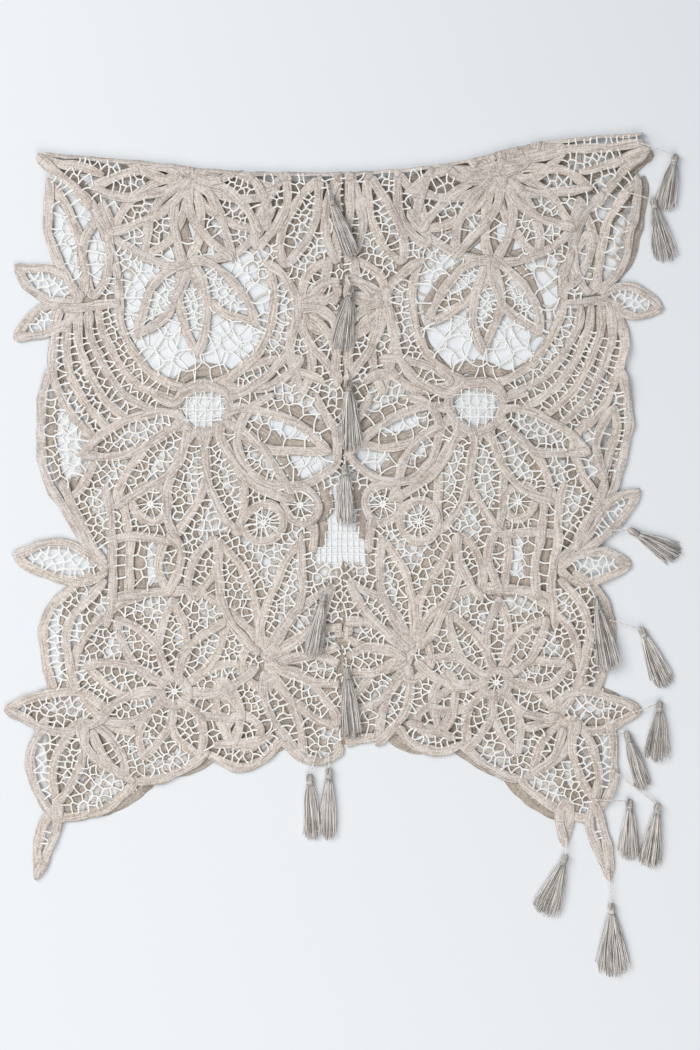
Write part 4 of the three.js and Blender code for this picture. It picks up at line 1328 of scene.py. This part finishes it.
def skirt(gather, row):
    """The loose strands below a head."""
    neck = HEAD_LENGTH / 2
    t = np.linspace(0, 1, STRAND_POINTS)
    bow, curl = np.sin(np.pi * t), np.sin(2 * np.pi * t)
    for k in range(STRAND_ROW * STRAND_LAYERS):
        side = (k % STRAND_ROW - STRAND_ROW // 2) / STRAND_ROW + rng.uniform(-SIDE_JITTER, SIDE_JITTER)
        layer = (k // STRAND_ROW + rng.uniform(*LAYER_RANGE)) / STRAND_LAYERS
        length = row.length * (1 - SHORT_SIDES * (2 * side) ** 2) * rng.uniform(*STRAND_LENGTHS)
        tall = ROOT_TALL * math.sqrt(1 - (ROOT_ROUND * side) ** 2 + 0.02)
        root = np.array([neck - ROOT_INSIDE, side * ROOT_WIDTH, HEAD_RADIUS + (layer - 0.5) * tall])
        tip_side = side * row.fan * TIP_FAN + rng.normal(0, TIP_LOOSE)
        tip = np.array([neck + length, tip_side, TIP_LOW + TIP_TALL * layer])
        path = root + np.outer(t, tip - root)
        path[:, 1] += rng.uniform(-STRAND_WAVE, STRAND_WAVE) * bow
        path[:, 1] += rng.uniform(-STRAND_CURL, STRAND_CURL) * curl
        path[:, 1] += side * SKIRT_BELLY * bow * (0.4 + layer)
        path[:, 2] += SKIRT_CROWN * bow * (layer - 0.2)
        path[:, 2] = np.maximum(path[:, 2], STRAND_LEAST)
        tube(gather, path, YARN, TUBE_SIDES, rng.uniform(*STRAND_TONES))


def cord(gather, tie):
    """Two plies from the tie to the head, and the knot at the tie."""
    top = np.array([KNOT_RADIUS - HEAD_LENGTH / 2, 0, HEAD_RADIUS])
    middle = (tie + top) / 2
    middle[2] = max(tie[2], top[2])
    t = np.linspace(0, 1, CORD_POINTS)[:, None]
    line = tie * (1 - t) * (1 - 2 * t) + middle * 4 * t * (1 - t) + top * t * (2 * t - 1)
    span = np.linalg.norm(np.diff(line, axis=0), axis=1).sum()
    for phase in (0, math.pi):
        a = phase + t[:, 0] * span / PLY_TURN * math.pi
        ply = line + PLY_OFF * np.stack([np.zeros(CORD_POINTS), np.cos(a), np.sin(a)], 1)
        tube(gather, ply, PLY, CORD_SIDES, rng.uniform(*CORD_TONES))
    a = np.linspace(0, 2 * math.pi, KNOT_POINTS)
    for k in range(KNOT_LOOPS):
        d = unit(KNOT_STEP * k)
        loop = tie + KNOT_LOOP * np.stack([np.cos(a) * d[0], np.cos(a) * d[1], np.sin(a)], 1)
        tube(gather, loop, KNOT_THREAD, CORD_SIDES, rng.uniform(*CORD_TONES))


def front_top(x, y):
    """Height of the fronts' upper face in the part."""
    return FRONT_BASE + front_lift(x, y, RIDGES) + WALL


def tassel_base(row):
    """Height of what a tassel lies on."""
    if row.on == "surface":
        return 0.0
    d = unit(row.heading)
    ends = np.linspace(-HEAD_LENGTH / 2, HEAD_LENGTH / 2 + row.length, 9)
    along, across = np.meshgrid(ends, [-0.5, 0, 0.5])
    x = row.head_x + along * d[0] - across * row.fan * d[1]
    y = row.head_y + along * d[1] + across * row.fan * d[0]
    return float(front_top(x.ravel(), y.ravel()).max())


def tassel(row):
    """A tassel made along X from its head's middle, then laid in its place."""
    gather = Gather()
    base = tassel_base(row) + REST_GAP
    c, s = unit(row.heading)
    dx, dy = row.tie_x - row.head_x, row.tie_y - row.head_y
    tie_top = front_top(np.array([row.tie_x]), np.array([row.tie_y]))[0]
    head(gather)
    skirt(gather, row)
    cord(gather, np.array([dx * c + dy * s, dy * c - dx * s, tie_top + REST_GAP + KNOT_RADIUS - base]))
    for points in gather.points:
        x, y, z = points.T.copy()
        points[:] = np.stack([row.head_x + x * c - y * s, row.head_y + x * s + y * c, z + base], 1)
    return gather.build("yarn_" + row.name, THREAD_KEYS, yarn)


for row in TASSELS:
    piece = tassel(row)
    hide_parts("tassel_" + row.name)
    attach(piece, "root")


# What stands for what

for piece, node in ((left_lace, "front_left_panel"), (right_lace, "front_right_panel"),
                    (fold_lace, "shoulder_fold"), (back_lace, "back_panel")):
    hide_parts(node)
for piece in (left_lace, right_lace, fold_lace, back_lace, left_mesh, right_mesh, fold_mesh, back_mesh,
              window_mesh):
    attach(piece, "root")

# Stage
FLOOR_HALF = 4.0
floor_mesh = bpy.data.meshes.new("floor")
floor_mesh.from_pydata([(-FLOOR_HALF, -FLOOR_HALF, 0), (FLOOR_HALF, -FLOOR_HALF, 0),
                        (FLOOR_HALF, FLOOR_HALF, 0), (-FLOOR_HALF, FLOOR_HALF, 0)], [], [(0, 1, 2, 3)])
floor = bpy.data.objects.new("floor", floor_mesh)
bpy.context.scene.collection.objects.link(floor)
floor_look = Look("pale_floor")
floor_look.shader.inputs["Base Color"].default_value = (0.86, 0.885, 0.91, 1)
floor_look.shader.inputs["Roughness"].default_value = 0.9
floor_look.shader.inputs["Specular IOR Level"].default_value = 0.1
floor_mesh.materials.append(floor_look.material)

# Light
world = bpy.data.worlds.new("studio")
bpy.context.scene.world = world
world.use_nodes = True
world.node_tree.nodes["Background"].inputs["Color"].default_value = (0.84, 0.92, 1.0, 1)
world.node_tree.nodes["Background"].inputs["Strength"].default_value = 0.37


def area_light(name, size, energy, colour, at, towards):
    data = bpy.data.lights.new(name, "AREA")
    data.shape = "SQUARE"
    data.size = size
    data.energy = energy
    data.color = colour
    lamp = bpy.data.objects.new(name, data)
    bpy.context.scene.collection.objects.link(lamp)
    lamp.location = at
    lamp.rotation_euler = (Vector(towards) - lamp.location).to_track_quat("-Z", "Y").to_euler()


area_light("window_light", 2.2, 62, (1.0, 0.985, 0.965), at=(-1.9, 0.9, 2.3), towards=(0, 0, 0))
area_light("low_fill", 1.8, 23, (1.0, 0.94, 0.87), at=(0.1, -1.7, 1.9), towards=(0, -0.5, 0))

# Camera, straight down, one millimetre to a pixel of the photograph
CAMERA_HEIGHT = 2.4
FRAME_LONG = 1.05
SENSOR = 36.0
camera_data = bpy.data.cameras.new("camera")
camera_data.sensor_width = SENSOR
camera_data.lens = SENSOR * CAMERA_HEIGHT / FRAME_LONG
camera = bpy.data.objects.new("camera", camera_data)
bpy.context.scene.collection.objects.link(camera)
camera.location = (0.007, -0.055, CAMERA_HEIGHT)
bpy.context.scene.camera = camera
bpy.context.scene.view_settings.view_transform = "Standard"
